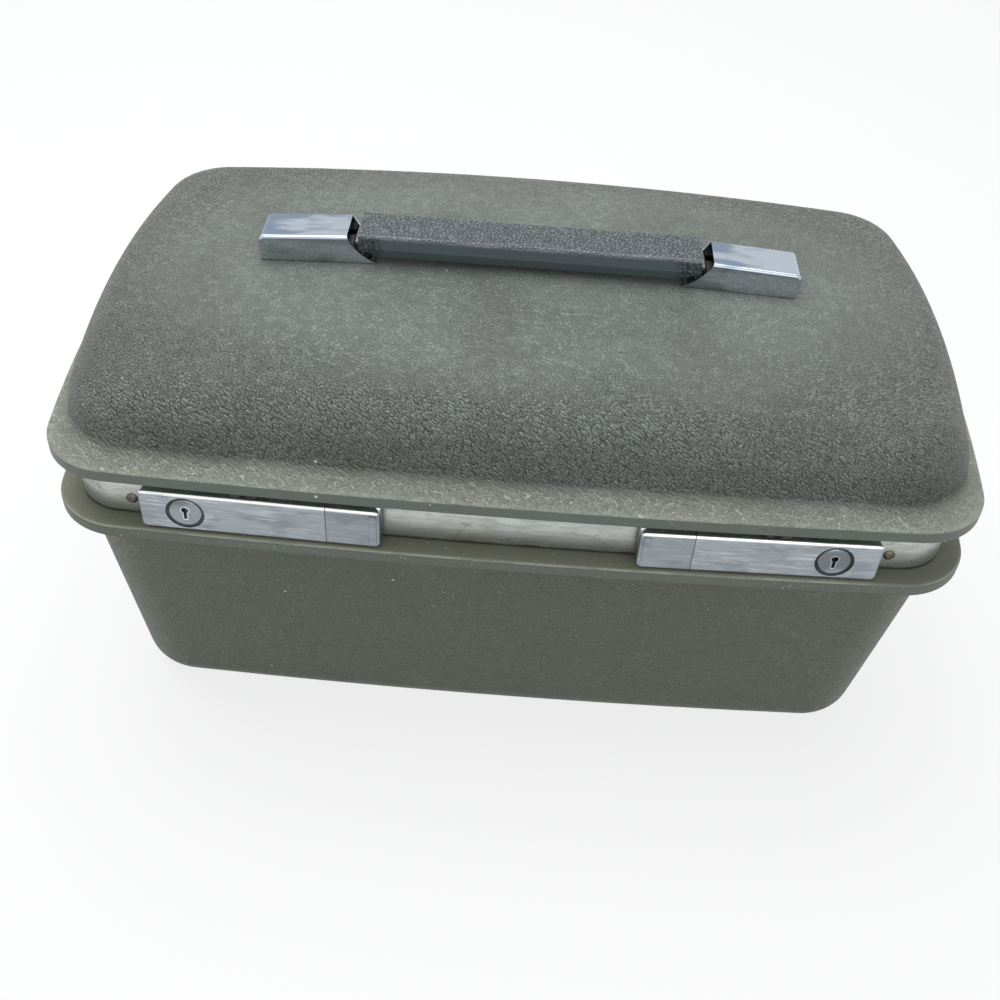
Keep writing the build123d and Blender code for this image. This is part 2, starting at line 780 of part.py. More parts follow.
with BuildPart() as hinge_lid_leaf:
    leaf_top = lid_bottom - fit_gap
    with BuildSketch(Plane.XY.offset(leaf_top)):
        with Locations((hinge_offset, lid_leaf_y + lid_leaf_depth / 2 - leaf_wall / 2)):
            RectangleRounded(lid_leaf_width, lid_leaf_depth, leaf_wall)
    extrude(amount=-lid_leaf_wall)
    with BuildSketch(Plane.YZ.offset(hinge_offset)):
        with Locations((hinge_axis_y, hinge_height)):
            Circle(knuckle_radius)
        with Locations((lid_leaf_y + leaf_wall / 2, (hinge_height + leaf_top) / 2)):
            Rectangle(leaf_wall, leaf_top - hinge_height)
    extrude(amount=middle_knuckle / 2, both=True)
    with BuildSketch(Plane.YZ.offset(hinge_offset)):
        with Locations((hinge_axis_y, hinge_height)):
            Circle(hinge_pin_radius + bearing_gap)
    extrude(amount=middle_knuckle, both=True, mode=Mode.SUBTRACT)
    with BuildSketch(*hinge_lid_planes[2:]):
        Circle(shank_radius + fit_gap)
    extrude(amount=lid_leaf_wall * 2, both=True, mode=Mode.SUBTRACT)
save_pair(hinge_lid_leaf, "hinge_lid_leaf")

with BuildPart() as hinge_pin:
    with BuildSketch(Plane.YZ.offset(hinge_offset)):
        with Locations((hinge_axis_y, hinge_height)):
            Circle(hinge_pin_radius)
    extrude(amount=hinge_width / 2, both=True)
save_pair(hinge_pin, "hinge_pin")

with BuildPart() as hinge_base_rivets:
    leaf_front = leaf_wall + bow_drop(hinge_offset + hinge_rivet_offset, side_radius) + 2 * fit_gap
    with Locations(*[p.offset(leaf_front) for p in hinge_base_planes]):
        add(rivet(flat_head, head_radius, leaf_front + frame_stack + fit_gap))
save(hinge_base_rivets, "hinge_base_rivets")

with BuildPart() as hinge_lid_rivets:
    with Locations(*[p.offset(lid_leaf_wall + 2 * fit_gap) for p in hinge_lid_planes]):
        add(rivet(flat_head, head_radius, lid_leaf_wall + 2 * fit_gap + lid_band / 2, 0))
save(hinge_lid_rivets, "hinge_lid_rivets")

# Latch plate, riveted to the frame, with two ears that carry the hasp's pins
with BuildPart() as latch_plate:
    plate_low = -latch_height / 2 + plate_margin
    plate_high = latch_height / 2 - plate_margin
    plate_inner = inner_end + plate_margin + 5 * side_wall
    plate_outer = outer_end - side_wall - 2 * plate_margin
    with BuildSketch(latch_face.offset(fit_gap)):
        with Locations(((plate_inner + plate_outer) / 2, (plate_low + plate_high) / 2)):
            RectangleRounded(plate_outer - plate_inner, plate_high - plate_low, 2 * plate_wall)
    extrude(amount=plate_wall)
    for place in ear_places:
        with BuildSketch(latch_across(place)):
            with Locations((pin_out, pin_level)):
                Circle(ear_radius)
            with Locations(((plate_front + pin_out) / 2, pin_level)):
                Rectangle(pin_out - plate_front + fit_gap, 2 * ear_radius)
            with Locations((pin_out, pin_level)):
                Circle(hasp_pin_radius + fit_gap / 2, mode=Mode.SUBTRACT)
        extrude(amount=ear_wall / 2, both=True)
    with BuildSketch(*latch_rivet_planes):
        Circle(shank_radius + fit_gap)
    extrude(amount=2 * plate_wall, mode=Mode.SUBTRACT)
save_pair(latch_plate, "latch_plate")

with BuildPart() as latch_rivets:
    farthest_rivet = max(map(abs, latch_rivets_at))
    latch_rivet_grip = plate_front + frame_stack + bow_drop(farthest_rivet, side_radius) + fit_gap
    with Locations(*mirrored([p.offset(plate_front) for p in latch_rivet_planes])):
        add(rivet(flat_head, head_radius, latch_rivet_grip))
save(latch_rivets, "latch_rivets")

# Hasp: pressed cover with the lock hole, hinge lugs, hook tooth and the tongue for the thumb slide
with BuildPart() as hasp:
    front_inside = hasp_front - face_wall
    hasp_length = outer_end - pad_line
    hasp_centre = (outer_end + pad_line) / 2
    with BuildSketch(latch_face.offset(hasp_back)):
        with Locations((hasp_centre, 0)):
            Rectangle(hasp_length, latch_height)
    extrude(amount=hasp_front - hasp_back)
    outer_corners = hasp.edges().filter_by(Axis((0, 0, 0), latch_face.z_dir)).filter_by(
        lambda e: on_latch(e).X > hasp_centre)
    fillet(outer_corners, hasp_corner)
    front_edges = hasp.edges().filter_by(
        lambda e: on_latch(e).Z > hasp_front - fit_gap and on_latch(e).X > pad_line + fit_gap)
    fillet(front_edges, hasp_edge)
    with BuildSketch(latch_face.offset(hasp_back)):
        with Locations((hasp_centre, 0)):
            RectangleRounded(hasp_length - 2 * side_wall, latch_height - 2 * side_wall,
                             hasp_corner - side_wall)
    extrude(amount=front_inside - hasp_back, mode=Mode.SUBTRACT)
    for place in ear_places:
        with BuildSketch(latch_face.offset(hasp_back)):
            with Locations((place, -latch_height / 2)):
                Rectangle(ear_wall + 2 * run_gap, 4 * side_wall)
        extrude(amount=front_inside - hasp_back, mode=Mode.SUBTRACT)
        for side in (-1, 1):
            with BuildSketch(latch_across(place + side * (ear_wall / 2 + run_gap + lug_wall / 2))):
                with Locations((pin_out, pin_level)):
                    Circle(lug_radius)
                with Locations(((pin_out + front_inside) / 2, pin_level)):
                    Rectangle(front_inside - pin_out + fit_gap, 2 * lug_radius)
                with Locations((pin_out, pin_level)):
                    Circle(hasp_pin_radius + bearing_gap, mode=Mode.SUBTRACT)
            extrude(amount=lug_wall / 2, both=True)
    with BuildSketch(latch_face.offset(front_inside - face_wall)):
        with Locations((lock_at, 0)):
            Circle(lock_radius + fit_gap)
    extrude(amount=3 * face_wall, mode=Mode.SUBTRACT)
    tongue_front = front_inside - run_gap
    with BuildSketch(latch_face.offset(tongue_front - tongue_thick)):
        with Locations((pad_line + side_wall - tongue_length / 2, 0)):
            Rectangle(tongue_length, tongue_width)
    extrude(amount=tongue_thick)
    tooth_back = tab_back + striker_wall + run_gap
    with BuildSketch(latch_face.offset(tooth_back)):
        with Locations((striker_at, tooth_at + tooth_height / 2)):
            Rectangle(tooth_width, tooth_height)
    extrude(amount=front_inside - tooth_back + fit_gap)
save_pair(hasp, "hasp")

with BuildPart() as hasp_pins:
    for place in ear_places:
        with BuildSketch(latch_across(place)):
            with Locations((pin_out, pin_level)):
                Circle(hasp_pin_radius)
        extrude(amount=ear_wall / 2 + run_gap + lug_wall, both=True)
    mirror(about=Plane.YZ)
save(hasp_pins, "hasp_pins")

# Thumb slide: the inner end of the latch, running on the hasp's tongue
with BuildPart() as thumb_slide:
    pad_end = pad_line - pad_gap
    slide_centre = (inner_end + pad_end) / 2
    slide_length = pad_end - inner_end
    with BuildSketch(latch_face.offset(hasp_back)):
        with Locations((slide_centre, 0)):
            Rectangle(slide_length, latch_height)
    extrude(amount=hasp_front - hasp_back)
    inner_corners = thumb_slide.edges().filter_by(Axis((0, 0, 0), latch_face.z_dir)).filter_by(
        lambda e: on_latch(e).X < slide_centre)
    fillet(inner_corners, hasp_corner)
    slide_edges = thumb_slide.edges().filter_by(
        lambda e: on_latch(e).Z > hasp_front - fit_gap and on_latch(e).X < pad_end - fit_gap)
    fillet(slide_edges, hasp_edge)
    with BuildSketch(latch_face.offset(hasp_back)):
        with Locations((slide_centre + side_wall, 0)):
            Rectangle(slide_length, latch_height - 2 * side_wall)
    extrude(amount=front_inside - hasp_back, mode=Mode.SUBTRACT)
    rail_top = front_inside - 2 * run_gap - tongue_thick
    with BuildSketch(latch_face.offset(rail_top)):
        rail_level = (latch_height - side_wall - rail_reach) / 2
        with Locations((slide_centre, -rail_level), (slide_centre, rail_level)):
            Rectangle(slide_length - side_wall, rail_reach + side_wall)
    extrude(amount=-rail_wall)
    with BuildSketch(latch_face.offset(hasp_front - face_wall / 2)):
        with Locations((inner_end + hasp_edge + lip_width / 2, 0)):
            RectangleRounded(lip_width, 2 * lip_reach, lip_width / 3)
    extrude(amount=face_wall / 2 + lip_height)
    fillet(thumb_slide.faces().sort_by(Axis(latch_face.origin, latch_face.z_dir))[-1].edges(), lip_height / 2)
save_pair(thumb_slide, "thumb_slide")

with BuildPart() as slide_spring:
    spring_start = inner_end + side_wall + fit_gap
    spring_out = rail_top - rail_wall / 2
    with BuildSketch(latch_flat(0)):
        with BuildLine() as spring_line:
            ThreePointArc((spring_start, -spring_out),
                          (spring_start + spring_length / 2, -spring_out - spring_bow),
                          (spring_start + spring_length, -spring_out))
        trace(line_width=spring_wall)
    extrude(amount=spring_width / 2, both=True)
save_pair(slide_spring, "slide_spring")

# Lock: body behind the hasp's face, a plug with its keyhole and a cam
with BuildPart() as lock_body:
    body_back = pin_out - face_wall
    with BuildSketch(latch_face.offset(body_back)):
        with Locations((lock_at, 0)):
            Circle(lock_flange)
    extrude(amount=front_inside - fit_gap - body_back)
    with BuildSketch(latch_face.offset(body_back)):
        with Locations((lock_at, 0)):
            Circle(lock_radius)
    extrude(amount=hasp_front - ring_recess - body_back)
    with BuildSketch(latch_face.offset(body_back)):
        with Locations((lock_at, 0)):
            Circle(plug_radius + 2 * bearing_gap)
    extrude(amount=hasp_front, mode=Mode.SUBTRACT)
save_pair(lock_body, "lock_body")

with BuildPart() as lock_plug:
    plug_back = hasp_back - fit_gap
    plug_front = hasp_front - plug_recess
    with BuildSketch(latch_face.offset(plug_back)):
        with Locations((lock_at, 0)):
            Circle(plug_radius)
    extrude(amount=plug_front - plug_back)
    chamfer(lock_plug.faces().sort_by(Axis(latch_face.origin, latch_face.z_dir))[-1].edges(), plug_recess)
    with BuildSketch(latch_face.offset(plug_front)):
        with Locations((lock_at, keyhole_radius)):
            Circle(keyhole_radius)
        with Locations((lock_at, keyhole_radius - keyhole_length / 2)):
            Rectangle(keyhole_width, keyhole_length)
    extrude(amount=-keyhole_depth, mode=Mode.SUBTRACT)
save_pair(lock_plug, "lock_plug")

with BuildPart() as lock_cam:
    with BuildSketch(latch_face.offset(plug_back - fit_gap)):
        with Locations((lock_at, 0)):
            Circle(cam_width / 2 + 2 * cam_wall)
        with Locations((lock_at - (cam_length - cam_width) / 2 - cam_width / 4, 0)):
            SlotOverall(cam_length, cam_width)
    extrude(amount=-cam_wall)
save_pair(lock_cam, "lock_cam")

# Strikers on the lid, which the hasps' teeth hold
with BuildPart() as striker:
    tab_top = lid_bottom - latch_level - fit_gap
    with BuildSketch(latch_across(striker_at)):
        with BuildLine():
            Polyline((tab_back, striker_low), (tab_back + striker_wall, striker_low),
                     (tab_back + striker_wall, tab_top - striker_wall),
                     (tab_back + striker_foot, tab_top - striker_wall), (tab_back + striker_foot, tab_top),
                     (tab_back, tab_top), (tab_back, striker_low))
        make_face()
    extrude(amount=striker_width / 2, both=True)
    with BuildSketch(latch_face.offset(tab_back)):
        with Locations((striker_at, tooth_at + tooth_height / 2)):
            Rectangle(tooth_width + 2 * run_gap, tooth_height + 2 * run_gap)
    extrude(amount=striker_wall, mode=Mode.SUBTRACT)
    with BuildSketch(striker_plane):
        Circle(shank_radius + fit_gap)
    extrude(amount=2 * striker_wall, mode=Mode.SUBTRACT)
save_pair(striker, "striker")

with BuildPart() as striker_rivets:
    with Locations(*mirrored([striker_plane.offset(striker_wall + fit_gap)])):
        add(rivet(flat_head, shank_radius * tail_spread, striker_wall + fit_gap + lid_band / 2, 0))
save(striker_rivets, "striker_rivets")


def bracket_profile(wall):
    """The bracket's side view, drawn in by a wall on the roof and the outer end."""
    outer = half_bracket - wall
    roof_fall = (bracket_high - bracket_low) / (half_bracket - roof_start)
    high = bracket_high - wall
    low = bracket_high - wall - roof_fall * (outer - roof_start)
    with BuildSketch() as profile:
        with BuildLine():
            Line((-half_bracket, bracket_foot), (outer, bracket_foot))
            Line((outer, bracket_foot), (outer, low))
            Line((outer, low), (roof_start - wall / 2, high + roof_fall * wall / 2))
            ThreePointArc((roof_start - wall / 2, high + roof_fall * wall / 2),
                          (roof_start - bracket_throat, bracket_high * throat_rise),
                          (-half_bracket, bracket_foot))
        make_face()
        corner = profile.vertices().sort_by(Axis.X)[-2:].sort_by(Axis.Y)[-1]
        fillet(corner, bracket_corner - wall)
    return profile.sketch


# Handle bracket: a chromed cover over a plate screwed to the lid, open towards the grip
with BuildPart() as handle_bracket:
    with BuildSketch(bracket_side):
        add(bracket_profile(0))
    extrude(amount=bracket_width / 2, both=True)
    roof = handle_bracket.faces().filter_by(lambda f: f.normal_at().Z > 0.9).sort_by(Axis.Z)[-1]
    long_edges = roof.edges().filter_by(lambda e: e.length > half_bracket)
    fillet(long_edges, bracket_edge)
    with BuildSketch(bracket_side):
        add(bracket_profile(bracket_wall))
        with Locations((-half_bracket, 0)):
            Rectangle(4 * bracket_wall, bracket_high * 3, mode=Mode.ADD)
        with Locations((0, bracket_foot)):
            Rectangle(2 * half_bracket - 2 * bracket_wall, 2 * (bracket_plate + fit_gap))
    extrude(amount=bracket_width / 2 - bracket_wall, both=True, mode=Mode.SUBTRACT)
    with BuildSketch(bracket_side):
        with BuildLine():
            mouth = -half_bracket - bracket_wall
            Polyline((mouth, bracket_high * 2), (roof_start, bracket_high * 2),
                     (roof_start, bracket_high / 2), (mouth, bracket_foot + bracket_wall / 2),
                     (mouth, bracket_high * 2))
        make_face()
    extrude(amount=bracket_width / 2 - bracket_wall, both=True, mode=Mode.SUBTRACT)
save_pair(handle_bracket, "handle_bracket")

with BuildPart() as bracket_floor:
    with BuildSketch(bracket_base.offset(bracket_foot)):
        inside_wall = bracket_wall + fit_gap
        RectangleRounded(2 * (half_bracket - inside_wall), bracket_width - 2 * inside_wall,
                         bracket_corner - bracket_wall)
    extrude(amount=bracket_plate)
    with BuildSketch(*bracket_screw_planes):
        Circle(shank_radius + fit_gap)
    extrude(amount=-2 * bracket_plate, mode=Mode.SUBTRACT)
save_pair(bracket_floor, "bracket_floor")

with BuildPart() as bracket_screws:
    with Locations(*mirrored(bracket_screw_planes)):
        add(rivet(flat_head, head_radius, bracket_screw_grip, 0))
save(bracket_screws, "bracket_screws")

# Grip: moulded bar with a flat top and undercut sides, cleared at its ends over the brackets
grip_low = crown_top + grip_top - grip_height
with BuildPart() as handle_grip:
    half_width = grip_width / 2
    with BuildSketch(Plane.YZ):
        with BuildLine():
            Polyline((-half_width, grip_low + grip_height), (half_width, grip_low + grip_height),
                     (half_width, grip_low + grip_height - grip_side), (half_width - grip_undercut, grip_low),
                     (grip_undercut - half_width, grip_low), (-half_width, grip_low + grip_height - grip_side),
                     (-half_width, grip_low + grip_height))
        make_face()
    extrude(amount=grip_length / 2, both=True)
    fillet(handle_grip.faces().sort_by(Axis.Z)[-1].edges().filter_by(Axis.X), grip_edge)
    with BuildSketch(Plane.XZ):
        with BuildLine():
            cleared_from = grip_length / 2 - end_chamfer_length
            Polyline((cleared_from, grip_low), (grip_length / 2, grip_low + end_chamfer_height),
                     (grip_length / 2, grip_low), (cleared_from, grip_low))
        make_face()
        mirror(about=Plane.YZ)
    extrude(amount=grip_width, both=True, mode=Mode.SUBTRACT)
    strap_level = crown_top + grip_top - strap_drop
    with BuildSketch(Plane.YZ):
        with Locations((0, strap_level)):
            Rectangle(strap_width + 2 * fit_gap, strap_wall + 2 * fit_gap)
    extrude(amount=grip_length, both=True, mode=Mode.SUBTRACT)
save(handle_grip, "handle_grip")

# Steel strap through the grip, stepped down at each end to run under the bracket's roof
with BuildPart() as handle_strap:
    rest_gap = bracket_foot + bracket_plate + run_gap + strap_wall / 2
    step_out = bracket_roof - strap_step
    step_in = grip_length / 2 + strap_wall
    step_level = crown_height(step_out) + rest_gap + strap_wall
    end_level = crown_height(strap_end) + rest_gap + strap_wall / 2
    with BuildSketch(Plane.XZ):
        with BuildLine() as strap_line:
            Polyline((-strap_end, end_level), (-step_out, step_level), (-step_in, strap_level),
                     (step_in, strap_level), (step_out, step_level), (strap_end, end_level))
        trace(line_width=strap_wall)
    extrude(amount=strap_width / 2, both=True)
    with BuildSketch(Plane.XZ):
        with BuildLine():
            head_rise = (step_level - end_level) / (strap_end - step_out) * strap_head_length
            Line((strap_end - strap_head_length, end_level + head_rise), (strap_end, end_level))
        trace(line_width=strap_wall)
        mirror(about=Plane.YZ)
    extrude(amount=strap_head_width / 2, both=True)
save(handle_strap, "handle_strap")
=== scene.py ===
"""Dresses a packed cosmetic train case: grained shells, closure frame, brushed latches with
key locks, chromed brackets, pebbled grip, cloth lining and the studio round it, in metres."""

import math

import bmesh
import bpy
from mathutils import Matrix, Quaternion, Vector
from mathutils.bvhtree import BVHTree


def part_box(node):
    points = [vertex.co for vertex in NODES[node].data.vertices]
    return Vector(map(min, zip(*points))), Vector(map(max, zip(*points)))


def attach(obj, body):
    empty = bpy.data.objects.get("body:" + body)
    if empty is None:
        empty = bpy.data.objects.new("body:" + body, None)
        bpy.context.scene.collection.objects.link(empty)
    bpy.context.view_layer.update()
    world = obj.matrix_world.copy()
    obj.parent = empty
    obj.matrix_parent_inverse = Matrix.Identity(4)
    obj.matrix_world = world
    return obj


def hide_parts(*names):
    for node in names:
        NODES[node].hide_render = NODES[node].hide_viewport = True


bl_info = {
    "name": "Train case dressing",
    "version": (1, 0, 0),
    "blender": (4, 5, 0),
    "location": "3D View > Sidebar > Train case",
    "description": "Finishes and studio for a packed hard-sided train case",
    "category": "Object",
}

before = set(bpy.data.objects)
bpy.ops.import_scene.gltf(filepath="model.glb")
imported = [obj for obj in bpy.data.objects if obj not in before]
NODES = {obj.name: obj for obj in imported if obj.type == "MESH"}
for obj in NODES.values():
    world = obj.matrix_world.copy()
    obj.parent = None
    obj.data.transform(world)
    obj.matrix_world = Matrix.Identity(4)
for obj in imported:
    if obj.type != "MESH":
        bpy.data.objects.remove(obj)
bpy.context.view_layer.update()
SHARP_ANGLE = math.radians(32)


def corner(node, side):
    """The lowest (side 0) or highest (side 1) corner of a CAD node."""
    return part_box(node)[side]


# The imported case, in metres: its edge bands beside the seam, and the heights and ends that
# the finishes follow.
LATCH_CLEARANCE = 0.0007
BAND = 0.0049
FLANGE = 0.0052
LID_TOP = corner("lid_shell", 1).z
BAND_TOP = corner("lid_shell", 0).z + BAND
SHELF = corner("hasp_right", 0).z - LATCH_CLEARANCE
GRIP_TOP = corner("handle_grip", 1).z
GRIP_END = corner("handle_grip", 1).x
GRIP_HALF = corner("handle_grip", 1).y

# The padded linings and the board behind the mirror: how they are sewn, the steps that their
# meshes are laid in, and how full they are.
QUILT_GRID = 0.0022
STRIP_WIDTH = 0.026
DIAMOND = 0.03
SEAM_DEPTH = 0.0011
SEAM_REACH = 0.012
QUILT_BACK = 0.0003
QUILT_SPINE = 0.085
BASE_PANEL = (0.142, 0.072)
LID_PANEL = (0.14, 0.07)
PILLOW_POWER = 0.7
SEAM_FADE = 2.5
END_STEPS = 360
SIDE_STEPS = 180
RISE_STEPS = 160
WELD_REACH = 0.0004
MOUTH_DROP = 0.0002
WELT_RADIUS = 0.0007
WELT_SIDES = 8
BOARD_VOXEL = 0.003
BOARD_EASE = 0.5
BOARD_EASE_ROUNDS = 8

# The raised rims round the keyholes.
KEYHOLE_RADIUS = 0.0013
KEYHOLE_SLOT = 0.0011
KEYHOLE_LENGTH = 0.0044
KEYHOLE_WALL_STEPS = 8
KEYHOLE_ROUND_STEPS = 24
KEYHOLE_FOOT_STEPS = 6
RIM_RADIUS = 0.00032
RIM_BEAD = 0.8
STAND_OFF = 0.01

# The finishes: the lie of the leather grain, pairs of heights that lie off the case, and
# tones that no setting holds.
GRAIN_TURN = (0.0, math.radians(26), math.radians(-26))
GRAIN_STRETCH = (3.3, 1.0, 1.0)
WEAVE_PITCH = 0.0007
SPECK_CORE = 0.6
PICK_EASE = 0.01
UNDER_ALL = (0.001, 0.0)
OVER_ALL = (1.0, 2.0)
PALE_SCUFF = (0.62, 0.63, 0.6)
SHELL_PIT = (0.02, 0.02, 0.018)
FRAME_STAIN = (0.2, 0.185, 0.145)
FRAME_GRIME = (0.05, 0.043, 0.032)
FRAME_PIT = (0.06, 0.055, 0.045)
STEEL_PIT = (0.05, 0.05, 0.05)
PAINTED_HIGHLIGHT_RIM = (0.95, 0.96, 0.96)
CHROME_PIT = (0.12, 0.12, 0.12)
GRIP_PIT = (0.008, 0.012, 0.013)
GRIP_EDGE_HIGHLIGHT = (0.3, 0.31, 0.31)
MIRROR_SILVER = (0.85, 0.88, 0.88)
MIRROR_DUST = (0.6, 0.62, 0.6)

# The studio. A lamp is its name, its place, its width in metres and its power in watts.
FLOOR_HALF = 12.0
FLOOR_GLOW = 0.8
SKY_COLOUR = (0.9, 0.95, 1.0, 1.0)
SKY_STRENGTH = 0.42
WHITE = (1.0, 1.0, 1.0, 1.0)
LAMP_GOAL = (0.0, 0.0, 0.1)
LAMPS = (("key", (-0.25, 0.25, 1.45), 1.4, 24.0), ("front", (0.3, -1.5, 0.9), 1.2, 4.2))
NEAR_CLIP = 0.01


def linear(red, green, blue):
    """A colour picked on a screen, 0 to 255, as the linear values that shaders use."""
    def channel(value):
        value /= 255
        return value / 12.92 if value <= 0.04045 else ((value + 0.055) / 1.055) ** 2.4
    return channel(red), channel(green), channel(blue)


class Wire:
    """A shader socket that takes part in Python arithmetic by adding Math nodes."""

    def __init__(self, finish, socket):
        self.finish = finish
        self.socket = socket

    def math(self, operation, *others):
        values = dict(enumerate([self, *others]))
        return self.finish.add("ShaderNodeMath", {"operation": operation}, values)

    def _flipped(self, operation, other):
        return self.finish.add("ShaderNodeMath", {"operation": operation}, {0: other, 1: self})

    def __add__(self, other):
        return self.math("ADD", other)

    __radd__ = __add__

    def __sub__(self, other):
        return self.math("SUBTRACT", other)

    def __rsub__(self, other):
        return self._flipped("SUBTRACT", other)

    def __mul__(self, other):
        return self.math("MULTIPLY", other)

    __rmul__ = __mul__

    def step(self, low, high):
        """0 below low and 1 above high, smooth between; reversed when low is the larger."""
        return self.finish.add("ShaderNodeMapRange", {"interpolation_type": "SMOOTHSTEP"},
                             {"Value": self, "From Min": low, "From Max": high})

    def span(self, low, high):
        """Spreads 0 to 1 over low to high."""
        return self * (high - low) + low


class Finish:
    """The nodes of a procedural material, or of the world, while they are wired."""

    def __init__(self, owner):
        self.owner = owner
        owner.use_nodes = True
        self.tree = owner.node_tree
        self.tree.nodes.clear()

    def add(self, kind, settings=None, sockets=None, out=0):
        """Adds a node of a type, with its settings and then its sockets' values or links."""
        node = self.tree.nodes.new(kind)
        for key, value in (settings or {}).items():
            setattr(node, key, value)
        for key, value in (sockets or {}).items():
            if isinstance(value, Wire):
                self.tree.links.new(value.socket, node.inputs[key])
            elif value is not None:
                node.inputs[key].default_value = value
        return None if out is None else Wire(self, node.outputs[out])

    def place(self):
        """The point of the object that is shaded, in metres."""
        return self.add("ShaderNodeTexCoord", out="Object")

    def axes(self, vector):
        """The three coordinates of a vector."""
        split = self.add("ShaderNodeSeparateXYZ", sockets={0: vector})
        return [Wire(self, split.socket.node.outputs[i]) for i in range(3)]

    def stretch(self, vector, factors):
        """A vector times a factor along each axis."""
        return self.add("ShaderNodeVectorMath", {"operation": "MULTIPLY"}, {0: vector, 1: factors})

    def shift(self, vector, other):
        """A vector with another added to it."""
        return self.add("ShaderNodeVectorMath", {"operation": "ADD"}, {0: vector, 1: other})

    def moved(self, vector, seed):
        """A vector shifted far enough to meet another part of a texture."""
        return self.shift(vector, (0.31 * seed, 0.17 * seed, 0.23 * seed)) if seed else vector

    def noise(self, vector, size, detail=2.0, rough=0.5, seed=0):
        """Noise from 0 to 1 whose lumps are about a size across, in metres."""
        return self.add("ShaderNodeTexNoise", {"noise_dimensions": "3D"},
                        {"Vector": self.moved(vector, seed), "Scale": 1 / size,
                         "Detail": detail, "Roughness": rough})

    def drawn(self, vector, factors, **noise):
        """Noise drawn out along the axes whose factors are small."""
        return self.noise(self.stretch(vector, factors), **noise)

    def cells(self, vector, size, feature="DISTANCE_TO_EDGE", out="Distance", seed=0):
        """Cells about a size across: the distance to their edges or to their middles."""
        return self.add("ShaderNodeTexVoronoi", {"voronoi_dimensions": "3D", "feature": feature},
                        {"Vector": self.moved(vector, seed), "Scale": 1 / size}, out)

    def warped(self, vector, size, amount, seed=0):
        """A vector pushed about by noise, so that what is drawn on it wanders."""
        push = self.add("ShaderNodeTexNoise", {"noise_dimensions": "3D"},
                        {"Vector": self.moved(vector, seed), "Scale": 1 / size, "Detail": 1.0},
                        "Color")
        centred = self.shift(push, (-0.5, -0.5, -0.5))
        return self.shift(vector, self.stretch(centred, (amount, amount, amount)))

    def laid(self, vector, turn, factors):
        """A vector in axes that are turned, and drawn out along each by a factor."""
        return self.add("ShaderNodeMapping", {"vector_type": "TEXTURE"},
                        {"Vector": vector, "Rotation": turn, "Scale": factors})

    def blend(self, factor, first, second):
        """Two colours mixed by a factor."""
        first, second = [c if isinstance(c, Wire) else (*c, 1.0) for c in (first, second)]
        return self.add("ShaderNodeMix",
                        {"data_type": "RGBA", "blend_type": "MIX", "clamp_factor": True},
                        {0: factor, 6: first, 7: second}, 2)

    def bump(self, height, depth):
        """A normal from a height of 0 to 1 that stands for a depth in metres."""
        return self.add("ShaderNodeBump", sockets={"Height": height, "Distance": depth})

    def done(self, colour, roughness, normal=None, metallic=0.0, **fixed):
        """Ends the material with its surface and returns it."""
        sockets = {"Base Color": colour if isinstance(colour, Wire) else (*colour, 1.0),
                   "Roughness": roughness, "Metallic": metallic, "Normal": normal}
        sockets.update({key.replace("_", " "): value for key, value in fixed.items()})
        return self.shown(self.add("ShaderNodeBsdfPrincipled", sockets=sockets))

    def plainly_seen(self):
        """1 for rays that show a background: from the camera, a mirror or glass."""
        seen = self.add("ShaderNodeLightPath", out="Is Camera Ray")
        path = seen.socket.node.outputs
        for kind in ("Is Glossy Ray", "Is Transmission Ray"):
            seen = seen.math("MAXIMUM", Wire(self, path[kind]))
        return seen

    def shown(self, surface, kind="ShaderNodeOutputMaterial"):
        """Gives the owner its surface and returns the owner."""
        self.add(kind, sockets={"Surface": surface}, out=None)
        return self.owner


def new_finish(name):
    """Starts a material, and returns it with the point of the object that is shaded."""
    finish = Finish(bpy.data.materials.new(name))
    return finish, finish.place()


def shade(colour, *factors):
    """A colour made darker or paler by a factor, or by a factor for each channel."""
    each = factors if len(factors) == 3 else factors * 3
    return tuple(min(1.0, channel * factor) for channel, factor in zip(colour, each))


def specks(finish, place, spacing, size, share, seed):
    """Small spots: about one in each spacing, of a size, in a share of the cells."""
    near = finish.cells(place, spacing, "F1", seed=seed)
    middle = finish.cells(place, spacing, "F1", "Position", seed)
    pick = finish.add("ShaderNodeTexWhiteNoise", {"noise_dimensions": "3D"},
                      {"Vector": middle}, "Value")
    spot = near.step(size / spacing, size / spacing * SPECK_CORE)
    return spot * pick.step(1 - share - PICK_EASE, 1 - share + PICK_EASE)


def leather(finish, place, cell):
    """A leather grain: how far a point lies in a crease, on a ridge and on a crease's rim."""
    lie = finish.laid(place, GRAIN_TURN, GRAIN_STRETCH)
    wander = finish.warped(lie, size=cell * 3.0, amount=cell * 1.1, seed=1)
    broken = finish.noise(place, size=cell * 4.0, detail=2.0, rough=0.5, seed=2)
    major = finish.cells(wander, size=cell)
    minor = finish.cells(wander, size=cell * 0.55, seed=2).step(0.13, 0.03) * broken.step(0.4, 0.55)
    crease = major.step(0.1, 0.03) * broken.step(0.15, 0.35).span(0.35, 1.0)
    crease = crease.math("MAXIMUM", minor * 0.7)
    rim = major.step(0.3, 0.16) * (1 - crease) * broken.step(0.3, 0.6)
    ridge = finish.cells(wander, size=cell, feature="F1").step(0.75, 0.2)
    return crease, ridge, rim


